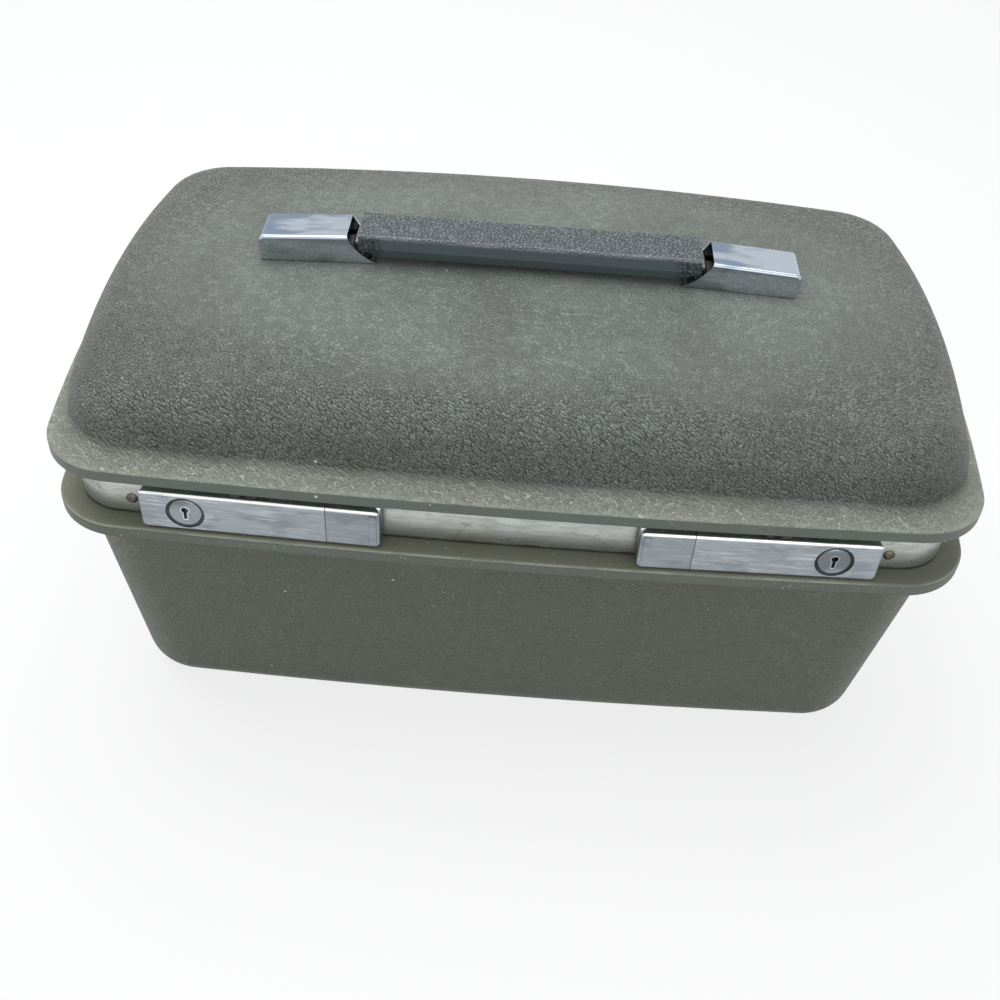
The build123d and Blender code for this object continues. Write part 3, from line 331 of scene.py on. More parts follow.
def shell_plastic(name, colours, marks, cell, depth, coarser, smooth, dust_and_highlight_heights, grimy, edge):
    """Moulded plastic with a leather grain, whose creases are painted dark as painted shade and
    whose crease rims are painted pale as painted highlights. From the first height of a pair to
    the second it grows coarser, sets in over smooth plastic, gathers pale dust that is partly a
    painted highlight, or is covered by a grimy brown that is also painted pale as painted light,
    and at the height of its edge it is rubbed pale, a line that is also a painted highlight. The
    marks say how dark its painted crease shade is and how strong its specks."""
    base, stained, dust, grime_and_painted_light, bare = colours
    crease_dark, speckle = marks
    finish, place = new_finish(name)
    height = finish.axes(place)[2]
    cloud = finish.noise(place, size=0.05, detail=3.0, rough=0.6, seed=4)
    rubbed = finish.drawn(place, (0.5, 1.0, 1.0), size=0.012, detail=5.0, rough=0.65, seed=5)
    fine = finish.noise(place, size=0.0011, detail=3.0, rough=0.7, seed=7)
    crease, ridge, rim = leather(finish, place, cell)
    grained = (height + rubbed * 0.00004).step(*smooth)
    wavering = height + (cloud - 0.5) * 0.008
    strength = wavering.step(*coarser).span(0.42, 1.0) * grained
    patches = cloud.step(0.35, 0.65)
    tone = finish.blend(patches, base, stained)
    tone = finish.blend(rubbed.step(0.5, 0.8) * 0.15, tone, dust)
    tone = finish.blend(grained, finish.blend(patches * 0.4, bare, stained), tone)
    # A grimy brown on the base's shelf, painted pale enough that it is also painted light, lifting
    # the shade that the lid and latches cast there.
    dirt_and_painted_light = (height + (rubbed - 0.5) * 0.0006).step(*grimy)
    tone = finish.blend(dirt_and_painted_light * rubbed.span(0.55, 1.2), tone, grime_and_painted_light)
    # Pale dust on the lid's cove and flange, partly painted highlight: the upward-facing flange is
    # painted paler, and its creases pale.
    dust_and_highlight = (height + (cloud - 0.5) * 0.003).step(*dust_and_highlight_heights) * grained
    # Painted highlight: the rims of the creases are painted in the pale dust tone.
    tone = finish.blend(rim * strength * crease_dark * (0.5 - dust_and_highlight * 0.5), tone, dust)
    # Painted shade: the creases are painted dark.
    lined = crease * strength * crease_dark * (1 - dust_and_highlight * 0.9)
    tone = finish.blend(lined, tone, shade(base, 0.17, 0.2, 0.15))
    # Painted highlight and dust: the cove and flange paler, their creases palest.
    tone = finish.blend(dust_and_highlight * (crease * 0.75 + 0.28), tone, dust)
    patchy = finish.noise(place, size=0.016, detail=3.0, rough=0.6, seed=9).step(0.4, 0.65)
    dots = specks(finish, place, spacing=0.0024, size=0.00045, share=0.5, seed=15)
    dots = dots.math("MAXIMUM", fine.step(0.62, 0.7))
    tone = finish.blend(dots * patchy.span(0.25, 1.0) * speckle, tone, dust)
    pale = specks(finish, place, spacing=0.024, size=0.0008, share=0.45, seed=11)
    pale = pale.math(
        "MAXIMUM", specks(finish, place, spacing=0.009, size=0.0004, share=0.3, seed=12))
    scuff_bed = finish.warped(place, size=0.03, amount=0.004, seed=3)
    scuff = finish.cells(finish.stretch(scuff_bed, (0.3, 1.4, 1.0)), size=0.02, seed=6)
    scuff = scuff.step(0.009, 0.002)
    scuff = scuff * finish.noise(place, size=0.02, detail=2.0, seed=13).step(0.66, 0.7)
    scuff = scuff * fine.step(0.35, 0.6)
    tone = finish.blend((pale * 0.9).math("MAXIMUM", scuff * 0.4), tone, PALE_SCUFF)
    pit = specks(finish, place, spacing=0.008, size=0.0005, share=0.4, seed=14)
    tone = finish.blend(pit * 0.5, tone, SHELL_PIT)
    # A pale line at the height of the edge: rubbed wear, and also a painted highlight on its
    # rounding.
    rubbed_and_highlit_edge = (height - edge).math("ABSOLUTE").step(0.0004, 0.0001)
    tone = finish.blend(rubbed_and_highlit_edge * rubbed.step(0.35, 0.6).span(0.2, 0.7), tone, dust)
    relief = ridge * strength * 0.4 - crease * strength * 0.7 + fine * 0.16 + 0.5
    rough = (crease * 0.15 + rubbed * 0.25 + dirt_and_painted_light * 0.15 + 0.28).math("MINIMUM", 0.85)
    return finish.done(tone, rough, finish.bump(relief, depth), Specular_IOR_Level=0.65)


def strip_metal(name, colour):
    """The aluminium of the closure frame: drawn along its length, stained and grimy low down."""
    finish, place = new_finish(name)
    height = finish.axes(place)[2]
    drawn = finish.drawn(place, (0.05, 0.05, 1.0), size=0.0006, detail=4.0, rough=0.65, seed=1)
    streak = finish.drawn(place, (0.16, 0.16, 1.0), size=0.0022, detail=5.0, rough=0.7, seed=2)
    blotch = finish.drawn(place, (0.6, 0.6, 1.0), size=0.004, detail=5.0, rough=0.7, seed=3)
    dull = shade(colour, 0.6)
    tone = finish.blend(streak.step(0.42, 0.62) * 0.6, colour, dull)
    tone = finish.blend(drawn.step(0.45, 0.7) * 0.35, tone, dull)
    tone = finish.blend(blotch.step(0.56, 0.7) * 0.5, tone, FRAME_STAIN)
    foot = (height + blotch * 0.0022).step(SHELF + 0.0032, SHELF + 0.0016)
    tone = finish.blend(foot * 0.9, tone, FRAME_GRIME)
    pits = specks(finish, place, spacing=0.005, size=0.0005, share=0.3, seed=4)
    pits = pits.math(
        "MAXIMUM", specks(finish, place, spacing=0.0025, size=0.0003, share=0.2, seed=5))
    tone = finish.blend(pits * 0.7, tone, FRAME_PIT)
    rough = (streak * 0.25 + blotch * 0.2 + foot * 0.3 + 0.16).math("MINIMUM", 0.8)
    relief = drawn * 0.5 + (1 - pits) * 0.5
    return finish.done(tone, rough, finish.bump(relief, depth=0.00004), metallic=1.0)


def brushed_steel(name, colour, along=(0.02, 0.02, 1.0), scratch=0.35, ends=None):
    """Steel brushed along the axes whose factors are small, with fine pale scratches, smudges
    and pits. Beyond each pair of heights at its ends it is polished smoother and painted near
    white, a painted highlight."""
    finish, place = new_finish(name)
    hair = finish.drawn(place, along, size=0.0005, detail=4.0, rough=0.7, seed=1)
    lane = finish.stretch(place, tuple(a ** 0.6 for a in along))
    broad = finish.noise(lane, size=0.0024, detail=4.0, rough=0.65, seed=2)
    smudge = finish.drawn(place, (0.4, 0.4, 1.0), size=0.006, detail=5.0, rough=0.65, seed=3)
    tone = finish.blend(hair.step(0.3, 0.7) * 0.6, colour, shade(colour, 0.62))
    tone = finish.blend(broad.step(0.48, 0.68) * scratch, tone, shade(colour, 1.6))
    tone = finish.blend(smudge.step(0.48, 0.66) * 0.5, tone, shade(colour, 0.5))
    lane = finish.stretch(place, tuple(a ** 0.8 for a in along))
    scrape = finish.noise(lane, size=0.0009, detail=3.0, rough=0.7, seed=5)
    scrape = scrape.step(0.55, 0.63)
    scrape = scrape * finish.noise(place, size=0.012, detail=2.0, seed=6).step(0.42, 0.6)
    tone = finish.blend(scrape * (scratch + 0.15), tone, shade(colour, 1.9))
    pits = specks(finish, place, spacing=0.005, size=0.0003, share=0.2, seed=4)
    tone = finish.blend(pits * 0.6, tone, STEEL_PIT)
    rough = (hair * 0.14 + broad * 0.12 + smudge * 0.2 + 0.14).math("MINIMUM", 0.7)
    # Painted highlight: at the ends' heights the steel is painted near white, and polished
    # smoother.
    if ends:
        height = finish.axes(place)[2]
        bright = height.step(*ends[0]).math("MAXIMUM", height.step(*ends[1]))
        tone = finish.blend(bright * smudge.step(0.85, 0.55), tone, PAINTED_HIGHLIGHT_RIM)
        rough = rough * (1 - bright * 0.6)
    return finish.done(tone, rough, finish.bump(hair, depth=0.00003), metallic=1.0)


def polished_chrome(name, colour, sky_reflection_heights=None):
    """Chrome plate with finger smudges, haze and small pits, with soft dark bands along x that are
    painted reflections, and above a pair of heights a darker, bluer tone, a painted reflection.
    """
    finish, place = new_finish(name)
    smeared = finish.warped(place, size=0.01, amount=0.004, seed=2)
    smudge = finish.noise(smeared, size=0.009, detail=5.0, rough=0.62, seed=1)
    haze = smudge.step(0.48, 0.8)
    pits = specks(finish, place, spacing=0.0035, size=0.0003, share=0.2, seed=3)
    tone = finish.blend(haze * 0.3, colour, shade(colour, 0.62))
    # Painted reflection: soft dark bands drawn along x.
    painted_reflection_bands = finish.drawn(place, (0.35, 1.0, 1.0), size=0.011, detail=2.0, rough=0.5, seed=6)
    painted_reflection_bands = painted_reflection_bands.step(0.48, 0.62)
    tone = finish.blend(painted_reflection_bands * 0.6, tone, shade(colour, 0.3))
    # Painted reflection: above these heights the tone is darker and bluer.
    if sky_reflection_heights:
        above = finish.axes(place)[2].step(*sky_reflection_heights)
        tone = finish.blend(above * painted_reflection_bands.span(0.4, 0.95), tone, shade(colour, 0.33, 0.41, 0.5))
    tone = finish.blend(pits * 0.6, tone, CHROME_PIT)
    rough = (haze * 0.16 + pits * 0.4 + 0.04).math("MINIMUM", 0.6)
    fine = finish.noise(place, size=0.004, detail=2.0, rough=0.5, seed=5)
    return finish.done(tone, rough, finish.bump(fine, depth=0.00002), metallic=1.0)


def grip_plastic(name, colour, ridge):
    """The grip: pebbled with dark pits on top and near its ends, smooth and streaked beside, with a
    painted highlight along the long edges of its top.
    """
    finish, place = new_finish(name)
    x, y, z = finish.axes(place)
    top = z.step(GRIP_TOP - 0.0018, GRIP_TOP - 0.0006)
    ends = x.math("ABSOLUTE").step(GRIP_END - 0.012, GRIP_END - 0.006)
    rough_zone = top.math("MAXIMUM", ends * 0.8)
    wander = finish.warped(place, size=0.003, amount=0.0012, seed=1)
    pits = finish.cells(wander, size=0.0016).step(0.22, 0.05)
    pits = pits * finish.noise(place, size=0.003, detail=2.0, seed=2).step(0.25, 0.45)
    pebble = finish.cells(wander, size=0.0016, feature="F1").step(0.6, 0.15)
    fine = finish.noise(place, size=0.0006, detail=3.0, rough=0.6, seed=3)
    streak = finish.drawn(place, (0.06, 1.0, 1.0), size=0.0016, detail=4.0, rough=0.6, seed=4)
    tone = finish.blend(streak.step(0.4, 0.75) * 0.4, colour, ridge)
    tone = finish.blend(pebble * rough_zone * 0.6, tone, ridge)
    tone = finish.blend(pits * rough_zone * 0.9, tone, GRIP_PIT)
    # Painted highlight along the long edges of the top.
    edge = y.math("ABSOLUTE").step(GRIP_HALF - 0.0016, GRIP_HALF - 0.0006)
    edge = edge * z.step(GRIP_TOP - 0.0022, GRIP_TOP - 0.001)
    tone = finish.blend(edge * streak.step(0.3, 0.6) * 0.5, tone, GRIP_EDGE_HIGHLIGHT)
    relief = (pebble * 0.5 - pits * 0.6) * rough_zone + fine * 0.15 + 0.6
    return finish.done(tone, fine.span(0.35, 0.5), finish.bump(relief, depth=0.0004),
                       Specular_IOR_Level=0.4)


def plain_plastic(name, colour):
    """Moulded plastic with a fine spark-eroded grain and faint clouding."""
    finish, place = new_finish(name)
    cloud = finish.noise(place, size=0.03, detail=3.0, rough=0.5, seed=1)
    grain = finish.noise(place, size=0.0007, detail=2.0, rough=0.6, seed=2)
    tone = finish.blend(cloud.step(0.4, 0.7) * 0.3, colour, shade(colour, 0.82))
    return finish.done(tone, grain.span(0.37, 0.55), finish.bump(grain, depth=0.00004))


def worn_brass(name, colour):
    """Brass of the lock's cam, turned and tarnished."""
    finish, place = new_finish(name)
    tarnish = finish.noise(place, size=0.003, detail=4.0, rough=0.6, seed=1)
    hair = finish.drawn(place, (0.1, 1.0, 0.1), size=0.0004, detail=3.0, rough=0.6, seed=2)
    tone = finish.blend(tarnish.step(0.4, 0.75) * 0.6, colour, shade(colour, 0.45))
    rough = tarnish.span(0.2, 0.45)
    return finish.done(tone, rough, finish.bump(hair, depth=0.00002), metallic=1.0)


def lining_cloth(name, colour):
    """Rayon lining: a fine plain weave with a soft sheen, darker and creased along its seams."""
    finish, place = new_finish(name)
    x, y, z = finish.axes(place)
    turn = 2 * math.pi / WEAVE_PITCH
    weave = ((x + z) * turn).math("SINE") * ((y + z) * turn).math("SINE")
    slub = finish.drawn(place, (0.12, 0.12, 1.0), size=0.0012, detail=3.0, rough=0.6, seed=1)
    cloud = finish.noise(place, size=0.05, detail=3.0, rough=0.5, seed=2)
    seam = finish.add("ShaderNodeAttribute", {"attribute_name": "seam"}, out="Fac")
    pucker = finish.noise(place, size=0.0035, detail=3.0, rough=0.6, seed=3)
    tone = finish.blend(weave.span(0.1, 0.25), colour, shade(colour, 0.65))
    tone = finish.blend(slub.step(0.5, 0.8) * 0.3, tone, shade(colour, 1.25))
    tone = finish.blend(cloud.step(0.4, 0.7) * 0.25, tone, shade(colour, 0.75))
    tone = finish.blend(seam * 0.6, tone, shade(colour, 0.35))
    relief = weave * 0.12 + slub * 0.2 + pucker * (seam * 0.8 + 0.1)
    rough = slub.span(0.5, 0.8)
    return finish.done(tone, rough, finish.bump(relief, depth=0.0004), Sheen_Weight=0.3)


def silvered_glass(name):
    """The lid's mirror, with faint dust."""
    finish, place = new_finish(name)
    dust = finish.noise(place, size=0.02, detail=4.0, rough=0.6, seed=1).step(0.5, 0.8)
    tone = finish.blend(dust * 0.2, MIRROR_SILVER, MIRROR_DUST)
    return finish.done(tone, dust.span(0.02, 0.12), metallic=1.0)


def meshed(work, name):
    """A new mesh of what a bmesh holds, which is freed."""
    mesh = bpy.data.meshes.new(name)
    work.to_mesh(mesh)
    work.free()
    return mesh


def surface_of(node):
    """A tree of a CAD node's mesh, for finding where lines meet it."""
    work = bmesh.new()
    work.from_mesh(NODES[node].data)
    tree = BVHTree.FromBMesh(work)
    work.free()
    return tree


def struck(tree, start, way):
    """The point where a line from a start first meets a surface."""
    spot = tree.ray_cast(Vector(start), Vector(way))[0]
    if spot is None:
        raise RuntimeError("a line that should meet a surface meets nothing")
    return spot


def along_path(points, count):
    """Points at even steps along a path of points, ends included."""
    reached = [0.0]
    for before, after in zip(points, points[1:]):
        reached.append(reached[-1] + (after - before).length)
    even = []
    place = 0
    for step in range(count):
        goal = reached[-1] * step / (count - 1)
        while place < len(points) - 2 and reached[place + 1] < goal:
            place += 1
        gap = reached[place + 1] - reached[place]
        part = (goal - reached[place]) / gap if gap else 0.0
        even.append(points[place].lerp(points[place + 1], part))
    return even


def pillow(along, width):
    """The height, 0 at a seam to 1 between seams, of padding sewn in strips of a width."""
    return abs(math.sin(math.pi * along / width)) ** PILLOW_POWER


def from_spine(spot):
    """The nearest point on the lining's lengthwise spine, and the level way from there."""
    foot = Vector((max(-QUILT_SPINE, min(QUILT_SPINE, spot.x)), 0.0, spot.z))
    return foot, (spot - foot).normalized()


def mouth_line(tree, height):
    """The closed line of a lining's inside at a height, as points at short steps."""
    edge = []
    for side in (1, -1):
        for step in range(END_STEPS):
            turn = math.radians(90 - 180 * step / END_STEPS)
            way = Vector((side * math.cos(turn), side * math.sin(turn), 0.0))
            edge.append(struck(tree, (side * QUILT_SPINE, 0.0, height), way))
        for step in range(SIDE_STEPS):
            foot = (side * QUILT_SPINE * (1 - 2 * step / SIDE_STEPS), 0.0, height)
            edge.append(struck(tree, foot, (0.0, -side, 0.0)))
    return edge + edge[:1]


def rising_line(tree, spot, closed):
    """Points on a lining's inside, from its mouth to its closed side above or below its spine."""
    foot, way = from_spine(spot)
    path = []
    for step in range(RISE_STEPS + 1):
        rise = math.radians(90) * step / RISE_STEPS
        climb = Vector((0.0, 0.0, closed * math.sin(rise)))
        path.append(struck(tree, foot, way * math.cos(rise) + climb))
    return path


def sewn_crown(spot, strip, panel):
    """How far a point of the padding stands from its seams, 0 to 1: in diamonds inside the
    panel, and outside it in strips, counted round the mouth."""
    across, down = abs(spot.x) - panel[0], abs(spot.y) - panel[1]
    border = max(across, down)
    if border >= 0:
        border = math.hypot(max(across, 0), max(down, 0))
        crown = pillow(strip, 1.0)
    else:
        diagonals = spot.x + spot.y, spot.x - spot.y
        crown = min(pillow(along / math.sqrt(2), DIAMOND) for along in diagonals)
    return min(crown, min(1.0, abs(border) / SEAM_REACH) ** PILLOW_POWER)


def quilted_lining(node, mouth, closed, panel):
    """A padded lining that follows the inside of its CAD node, from its mouth's height to its
    closed side (1 up, -1 down). Its walls are sewn in strips and its panel in diamonds, and
    the seams sink into the lining's thickness. Returns its mesh and the line of its mouth."""
    tree = surface_of(node)
    edge = mouth_line(tree, mouth)
    strips = round(sum((b - a).length for a, b in zip(edge, edge[1:])) / STRIP_WIDTH)
    columns = strips * round(STRIP_WIDTH / QUILT_GRID)
    rim = along_path(edge, columns + 1)[:-1]
    paths = [rising_line(tree, spot, closed) for spot in rim]
    rows = round(sum((b - a).length for a, b in zip(paths[0], paths[0][1:])) / QUILT_GRID)
    work = bmesh.new()
    seam_layer = work.verts.layers.float.new("seam")
    verts = [[work.verts.new(place) for place in along_path(path, rows)] for path in paths]
    for here, after in zip(verts, verts[1:] + verts[:1]):
        for row in range(rows - 1):
            work.faces.new((here[row], after[row], after[row + 1], here[row + 1]))
    work.normal_update()
    first = verts[0][0]
    outward = 1.0 if from_spine(first.co)[1].dot(first.normal) > 0 else -1.0
    for column, line in enumerate(verts):
        for vert in line:
            crown = sewn_crown(vert.co, column * strips / columns, panel)
            vert.co += vert.normal * outward * SEAM_DEPTH * (1 - crown)
            vert[seam_layer] = max(0.0, 1 - crown * SEAM_FADE)
    bmesh.ops.remove_doubles(work, verts=work.verts[:], dist=WELD_REACH)
    return meshed(work, node + "_padded"), rim


def welt(work, spots, radius, up=Vector((0.0, 0.0, 1.0))):
    """A round bead along a closed line of points on a surface, and the way that it faces."""
    count = len(spots)
    turns = [2 * math.pi * side / WELT_SIDES for side in range(WELT_SIDES)]
    loops = []
    for step, spot in enumerate(spots):
        ahead = (spots[(step + 1) % count] - spots[step - 1]).normalized()
        out = ahead.cross(up).normalized()
        over = out.cross(ahead)
        loops.append([
            work.verts.new(spot + (out * math.cos(turn) + over * math.sin(turn)) * radius)
            for turn in turns])
    for step in range(count):
        here, after = loops[step], loops[(step + 1) % count]
        for side in range(WELT_SIDES):
            beside = (side + 1) % WELT_SIDES
            work.faces.new((here[side], after[side], after[beside], here[beside]))


def keyhole_line():
    """A closed line just outside a keyhole: a slot below a round hole, as points across and
    up from the middle of the plug."""
    wide, narrow = KEYHOLE_RADIUS + RIM_RADIUS, KEYHOLE_SLOT / 2 + RIM_RADIUS
    foot = KEYHOLE_RADIUS - KEYHOLE_LENGTH - RIM_RADIUS
    open_turn = math.asin(narrow / wide)
    height = KEYHOLE_RADIUS - wide * math.cos(open_turn) - foot
    wall = [(narrow, foot + height * step / KEYHOLE_WALL_STEPS)
            for step in range(KEYHOLE_WALL_STEPS)]
    line = wall[:]
    for step in range(KEYHOLE_ROUND_STEPS + 1):
        turn = open_turn + (2 * math.pi - 2 * open_turn) * step / KEYHOLE_ROUND_STEPS
        line.append((wide * math.sin(turn), KEYHOLE_RADIUS - wide * math.cos(turn)))
    line += [(-x, z) for x, z in reversed(wall)]
    return line + [(-narrow + 2 * narrow * step / KEYHOLE_FOOT_STEPS, foot)
                   for step in range(1, KEYHOLE_FOOT_STEPS)]


def key_rim(side):
    """The raised bright rim round a keyhole, laid on the face of its plug."""
    plug = f"lock_plug_{side}"
    low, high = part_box(plug)
    tree = surface_of(plug)
    middle = (low + high) / 2
    ahead = Vector((0.0, 1.0, 0.0))
    spots = [struck(tree, (middle.x + x, low.y - STAND_OFF, middle.z + z), ahead)
             for x, z in keyhole_line()]
    work = bmesh.new()
    welt(work, spots, RIM_RADIUS * RIM_BEAD, -ahead)
    bmesh.ops.recalc_face_normals(work, faces=work.faces[:])
    mesh = meshed(work, f"key_rim_{side}")
    mesh.shade_smooth()
    piece = linked(f"key_rim_{side}", mesh)
    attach(piece, f"plug_body_{side}")
    return piece


def linked(name, data):
    """A new object in the scene, for a mesh, a lamp or a camera."""
    piece = bpy.data.objects.new(name, data)
    bpy.context.scene.collection.objects.link(piece)
    return piece


def soft_piece(piece, node, body, material):
    """Puts a padded piece in its CAD node's place, on the node's body."""
    piece.data.materials.clear()
    piece.data.materials.append(material)
    piece.data.shade_smooth()
    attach(piece, body)
    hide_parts(node)


def add_welt(mesh, line, radius):
    """Adds a welt along a closed line to a mesh."""
    work = bmesh.new()
    work.from_mesh(mesh)
    welt(work, line, radius)
    bmesh.ops.recalc_face_normals(work, faces=work.faces[:])
    work.to_mesh(mesh)
    work.free()


def shaped(piece):
    """Turns a piece's modifiers into its mesh, so that none is left on it."""
    seen = piece.evaluated_get(bpy.context.evaluated_depsgraph_get())
    mesh = bpy.data.meshes.new_from_object(seen)
    piece.modifiers.clear()
    piece.data = mesh
    return mesh


def padded_lining(node, body, closed, panel, cloth):
    """The quilted lining of a shell, with a thin back and a welt along its mouth."""
    mouth = corner(node, (1 - closed) // 2).z + closed * MOUTH_DROP
    mesh, rim = quilted_lining(node, mouth, closed, panel)
    piece = linked(node + "_quilt", mesh)
    soft_piece(piece, node, body, cloth)
    skin = piece.modifiers.new("thickness", "SOLIDIFY")
    skin.thickness, skin.offset = QUILT_BACK, 1.0
    mesh = shaped(piece)
    away = Vector((0.0, 0.0, closed * WELT_RADIUS))
    add_welt(mesh, [spot + away for spot in rim], WELT_RADIUS)
    mesh.shade_smooth()


def padded_board(node):
    """The cloth-covered board behind the mirror: its CAD solid's mesh with rounded edges."""
    piece = linked(node + "_pad", NODES[node].data.copy())
    fit = piece.modifiers.new("voxels", "REMESH")
    fit.mode, fit.voxel_size = "VOXEL", BOARD_VOXEL
    ease = piece.modifiers.new("ease", "SMOOTH")
    ease.factor, ease.iterations = BOARD_EASE, BOARD_EASE_ROUNDS
    shaped(piece)
    return piece


def wear(material, *names):
    """Gives CAD nodes a material and smooth shading up to sharp edges."""
    for name in names:
        mesh = NODES[name].data
        mesh.materials.clear()
        mesh.materials.append(material)
        mesh.shade_smooth()
        mesh.set_sharp_from_angle(angle=SHARP_ANGLE)


def both(name):
    """The left-hand and right-hand names of a paired node."""
    return f"{name}_left", f"{name}_right"


def colour_setting(label, text, default):
    """A colour that a user may change."""
    return bpy.props.FloatVectorProperty(name=label, description=text, default=default, size=3,
                                         min=0.0, max=1.0, subtype="COLOR")


def length_setting(label, text, default):
    """A length in metres that a user may change."""
    return bpy.props.FloatProperty(name=label, description=text, default=default, min=0.0,
                                   max=1.0, unit="LENGTH", precision=5)


class ShellSettings(bpy.types.PropertyGroup):
    """Colours and grain of the moulded shells."""

    lid: colour_setting("Lid", "Main colour of the lid's plastic", linear(108, 115, 109))
    lid_stain: colour_setting("Lid stain", "Tone of the lid's stained patches", linear(91, 97, 89))
    # The base's colour is darker and greener than the lid's: partly its own tone, partly painted
    # shade for its front, which stands low under the flange.
    base: colour_setting("Base", "Main colour of the base's plastic", linear(70, 82, 61))
    base_stain: colour_setting("Base stain", "Browner tone of the base's stained patches",
                               linear(79, 84, 63))
    band: colour_setting("Bare band", "Smooth plastic of the shells' edge bands",
                         linear(84, 93, 82))
    # The dust tone also paints highlights: on the rims of the grain's creases, on the lid's cove
    # and flange, and along the shells' edges.
    dust: colour_setting("Dust", "Pale tone of dust and rubbed edges", linear(172, 176, 163))
    # A grimy brown for the shelf, pale enough that it is also painted light, lifting the shade
    # under the lid.
    grime_and_painted_light: colour_setting("Grime", "Brown tone of the dirt on the shelf", linear(124, 125, 107))
    lid_cell: length_setting("Lid grain", "Width of the grain's cells on the lid", 0.00095)
    base_cell: length_setting("Base grain", "Width of the grain's cells on the base", 0.0007)
    lid_depth: length_setting("Lid crease depth", "Depth of the creases on the lid", 0.0011)
    base_depth: length_setting("Base crease depth", "Depth of the creases on the base", 0.0003)


class MetalSettings(bpy.types.PropertyGroup):
    """Colours of the metals."""

    strip: colour_setting("Frame", "Aluminium of the closure frame", linear(200, 204, 200))
    latch: colour_setting("Latch", "Brushed steel of the latches", linear(163, 171, 177))
    lock: colour_setting("Lock", "Polished face of the key locks", linear(146, 153, 157))
    plate: colour_setting("Plates", "Steel of plates, hinges and rivets", linear(150, 151, 148))
    chrome: colour_setting("Chrome", "Chrome of the handle's brackets", linear(206, 213, 222))
    rivet: colour_setting("Rivets", "Darkened steel of the frame's rivets", linear(112, 107, 98))
    brass: colour_setting("Brass", "Brass of the locks", linear(196, 182, 140))


class TrimSettings(bpy.types.PropertyGroup):
    """Colours of the grip, the feet and everything inside."""

    grip: colour_setting("Grip", "Main colour of the grip", linear(92, 103, 107))
    grip_ridge: colour_setting("Grip ridges", "Rubbed pebbles of the grip", linear(104, 111, 114))
    foot: colour_setting("Feet", "Nylon of the glides", linear(40, 40, 40))
    cloth: colour_setting("Lining", "Cloth of the linings", linear(150, 138, 122))
    tray: colour_setting("Tray", "Plastic of the lift-out tray", linear(168, 158, 140))


class StageSettings(bpy.types.PropertyGroup):
    """Floor, light and camera."""

    floor: colour_setting("Floor", "Colour of the floor and the backdrop", (0.8, 0.8, 0.8))
    lens: bpy.props.FloatProperty(
        name="Lens", description="Focal length on a 36 mm sensor", default=43.18, min=10.0,
        subtype="DISTANCE_CAMERA")
    eye: bpy.props.FloatVectorProperty(
        name="Eye", description="Where the camera stands", subtype="XYZ", unit="LENGTH",
        default=(-0.00216, -0.43787, 0.455), precision=5)
    aim: bpy.props.FloatVectorProperty(
        name="Aim", description="The point in the middle of the picture", subtype="XYZ",
        unit="LENGTH", default=(-0.00524, 0.0, 0.06091), precision=5)
    roll: bpy.props.FloatProperty(
        name="Roll", description="Turn of the camera about its own line of sight",
        default=math.radians(4.037), unit="ROTATION")


class CaseSettings(bpy.types.PropertyGroup):
    """Everything that a user may change."""

    shell: bpy.props.PointerProperty(type=ShellSettings, name="Shells")
    metal: bpy.props.PointerProperty(type=MetalSettings, name="Metals")
    trim: bpy.props.PointerProperty(type=TrimSettings, name="Trim")
    stage: bpy.props.PointerProperty(type=StageSettings, name="Stage")


class CASE_OT_lid(bpy.types.Operator):
    """Finish the lid's shell"""

    bl_idname = "case.lid"
    bl_label = "Lid shell"

    def execute(self, context):
        own = context.scene.train_case.shell
        colours = own.lid[:], own.lid_stain[:], own.dust[:], own.grime_and_painted_light[:], own.band[:]
        grain = shell_plastic("lid_grain", colours, marks=(1.0, 0.22),
                              cell=own.lid_cell, depth=own.lid_depth,
                              coarser=(LID_TOP - 0.004, LID_TOP - 0.0085),
                              smooth=(BAND_TOP - 0.0003, BAND_TOP),
                              dust_and_highlight_heights=(BAND_TOP + 0.006, BAND_TOP + 0.001),
                              grimy=UNDER_ALL, edge=BAND_TOP - 0.0002)
        wear(grain, "lid_shell")
        return {"FINISHED"}


class CASE_OT_base(bpy.types.Operator):
    """Finish the base's shell and its feet"""

    bl_idname = "case.base"
    bl_label = "Base shell"

    def execute(self, context):
        own = context.scene.train_case.shell
        colours = own.base[:], own.base_stain[:], own.dust[:], own.grime_and_painted_light[:], own.band[:]
        grain = shell_plastic("base_grain", colours, marks=(0.4, 0.7),
                              cell=own.base_cell, depth=own.base_depth,
                              coarser=(SHELF, SHELF - FLANGE),
                              smooth=(SHELF - FLANGE + 0.0006, SHELF - FLANGE),
                              # The shelf's grimy brown is also painted light.
                              dust_and_highlight_heights=OVER_ALL, grimy=(SHELF - 0.0006, SHELF - 0.0002),
                              edge=SHELF - 0.0005)
        wear(grain, "base_shell")
        wear(plain_plastic("glide_nylon", context.scene.train_case.trim.foot[:]), "feet")
        return {"FINISHED"}


class CASE_OT_frames(bpy.types.Operator):
    """Finish the closure frames, the hinges and the rivets"""

    bl_idname = "case.frames"
    bl_label = "Frames and hinges"

    def execute(self, context):
        own = context.scene.train_case.metal
        wear(strip_metal("frame_aluminium", own.strip[:]), "base_frame", "lid_frame")
        steel = brushed_steel("hinge_steel", own.plate[:], along=(1.0, 0.05, 0.05), scratch=0.2)
        wear(steel, *both("hinge_base_leaf"), *both("hinge_lid_leaf"), *both("hinge_pin"))
        steel = brushed_steel("rivet_steel", own.rivet[:], along=(1.0, 1.0, 1.0), scratch=0.2)
        wear(steel, "frame_rivets", "hinge_base_rivets", "hinge_lid_rivets", "latch_rivets",
             "striker_rivets", "hasp_pins")
        return {"FINISHED"}


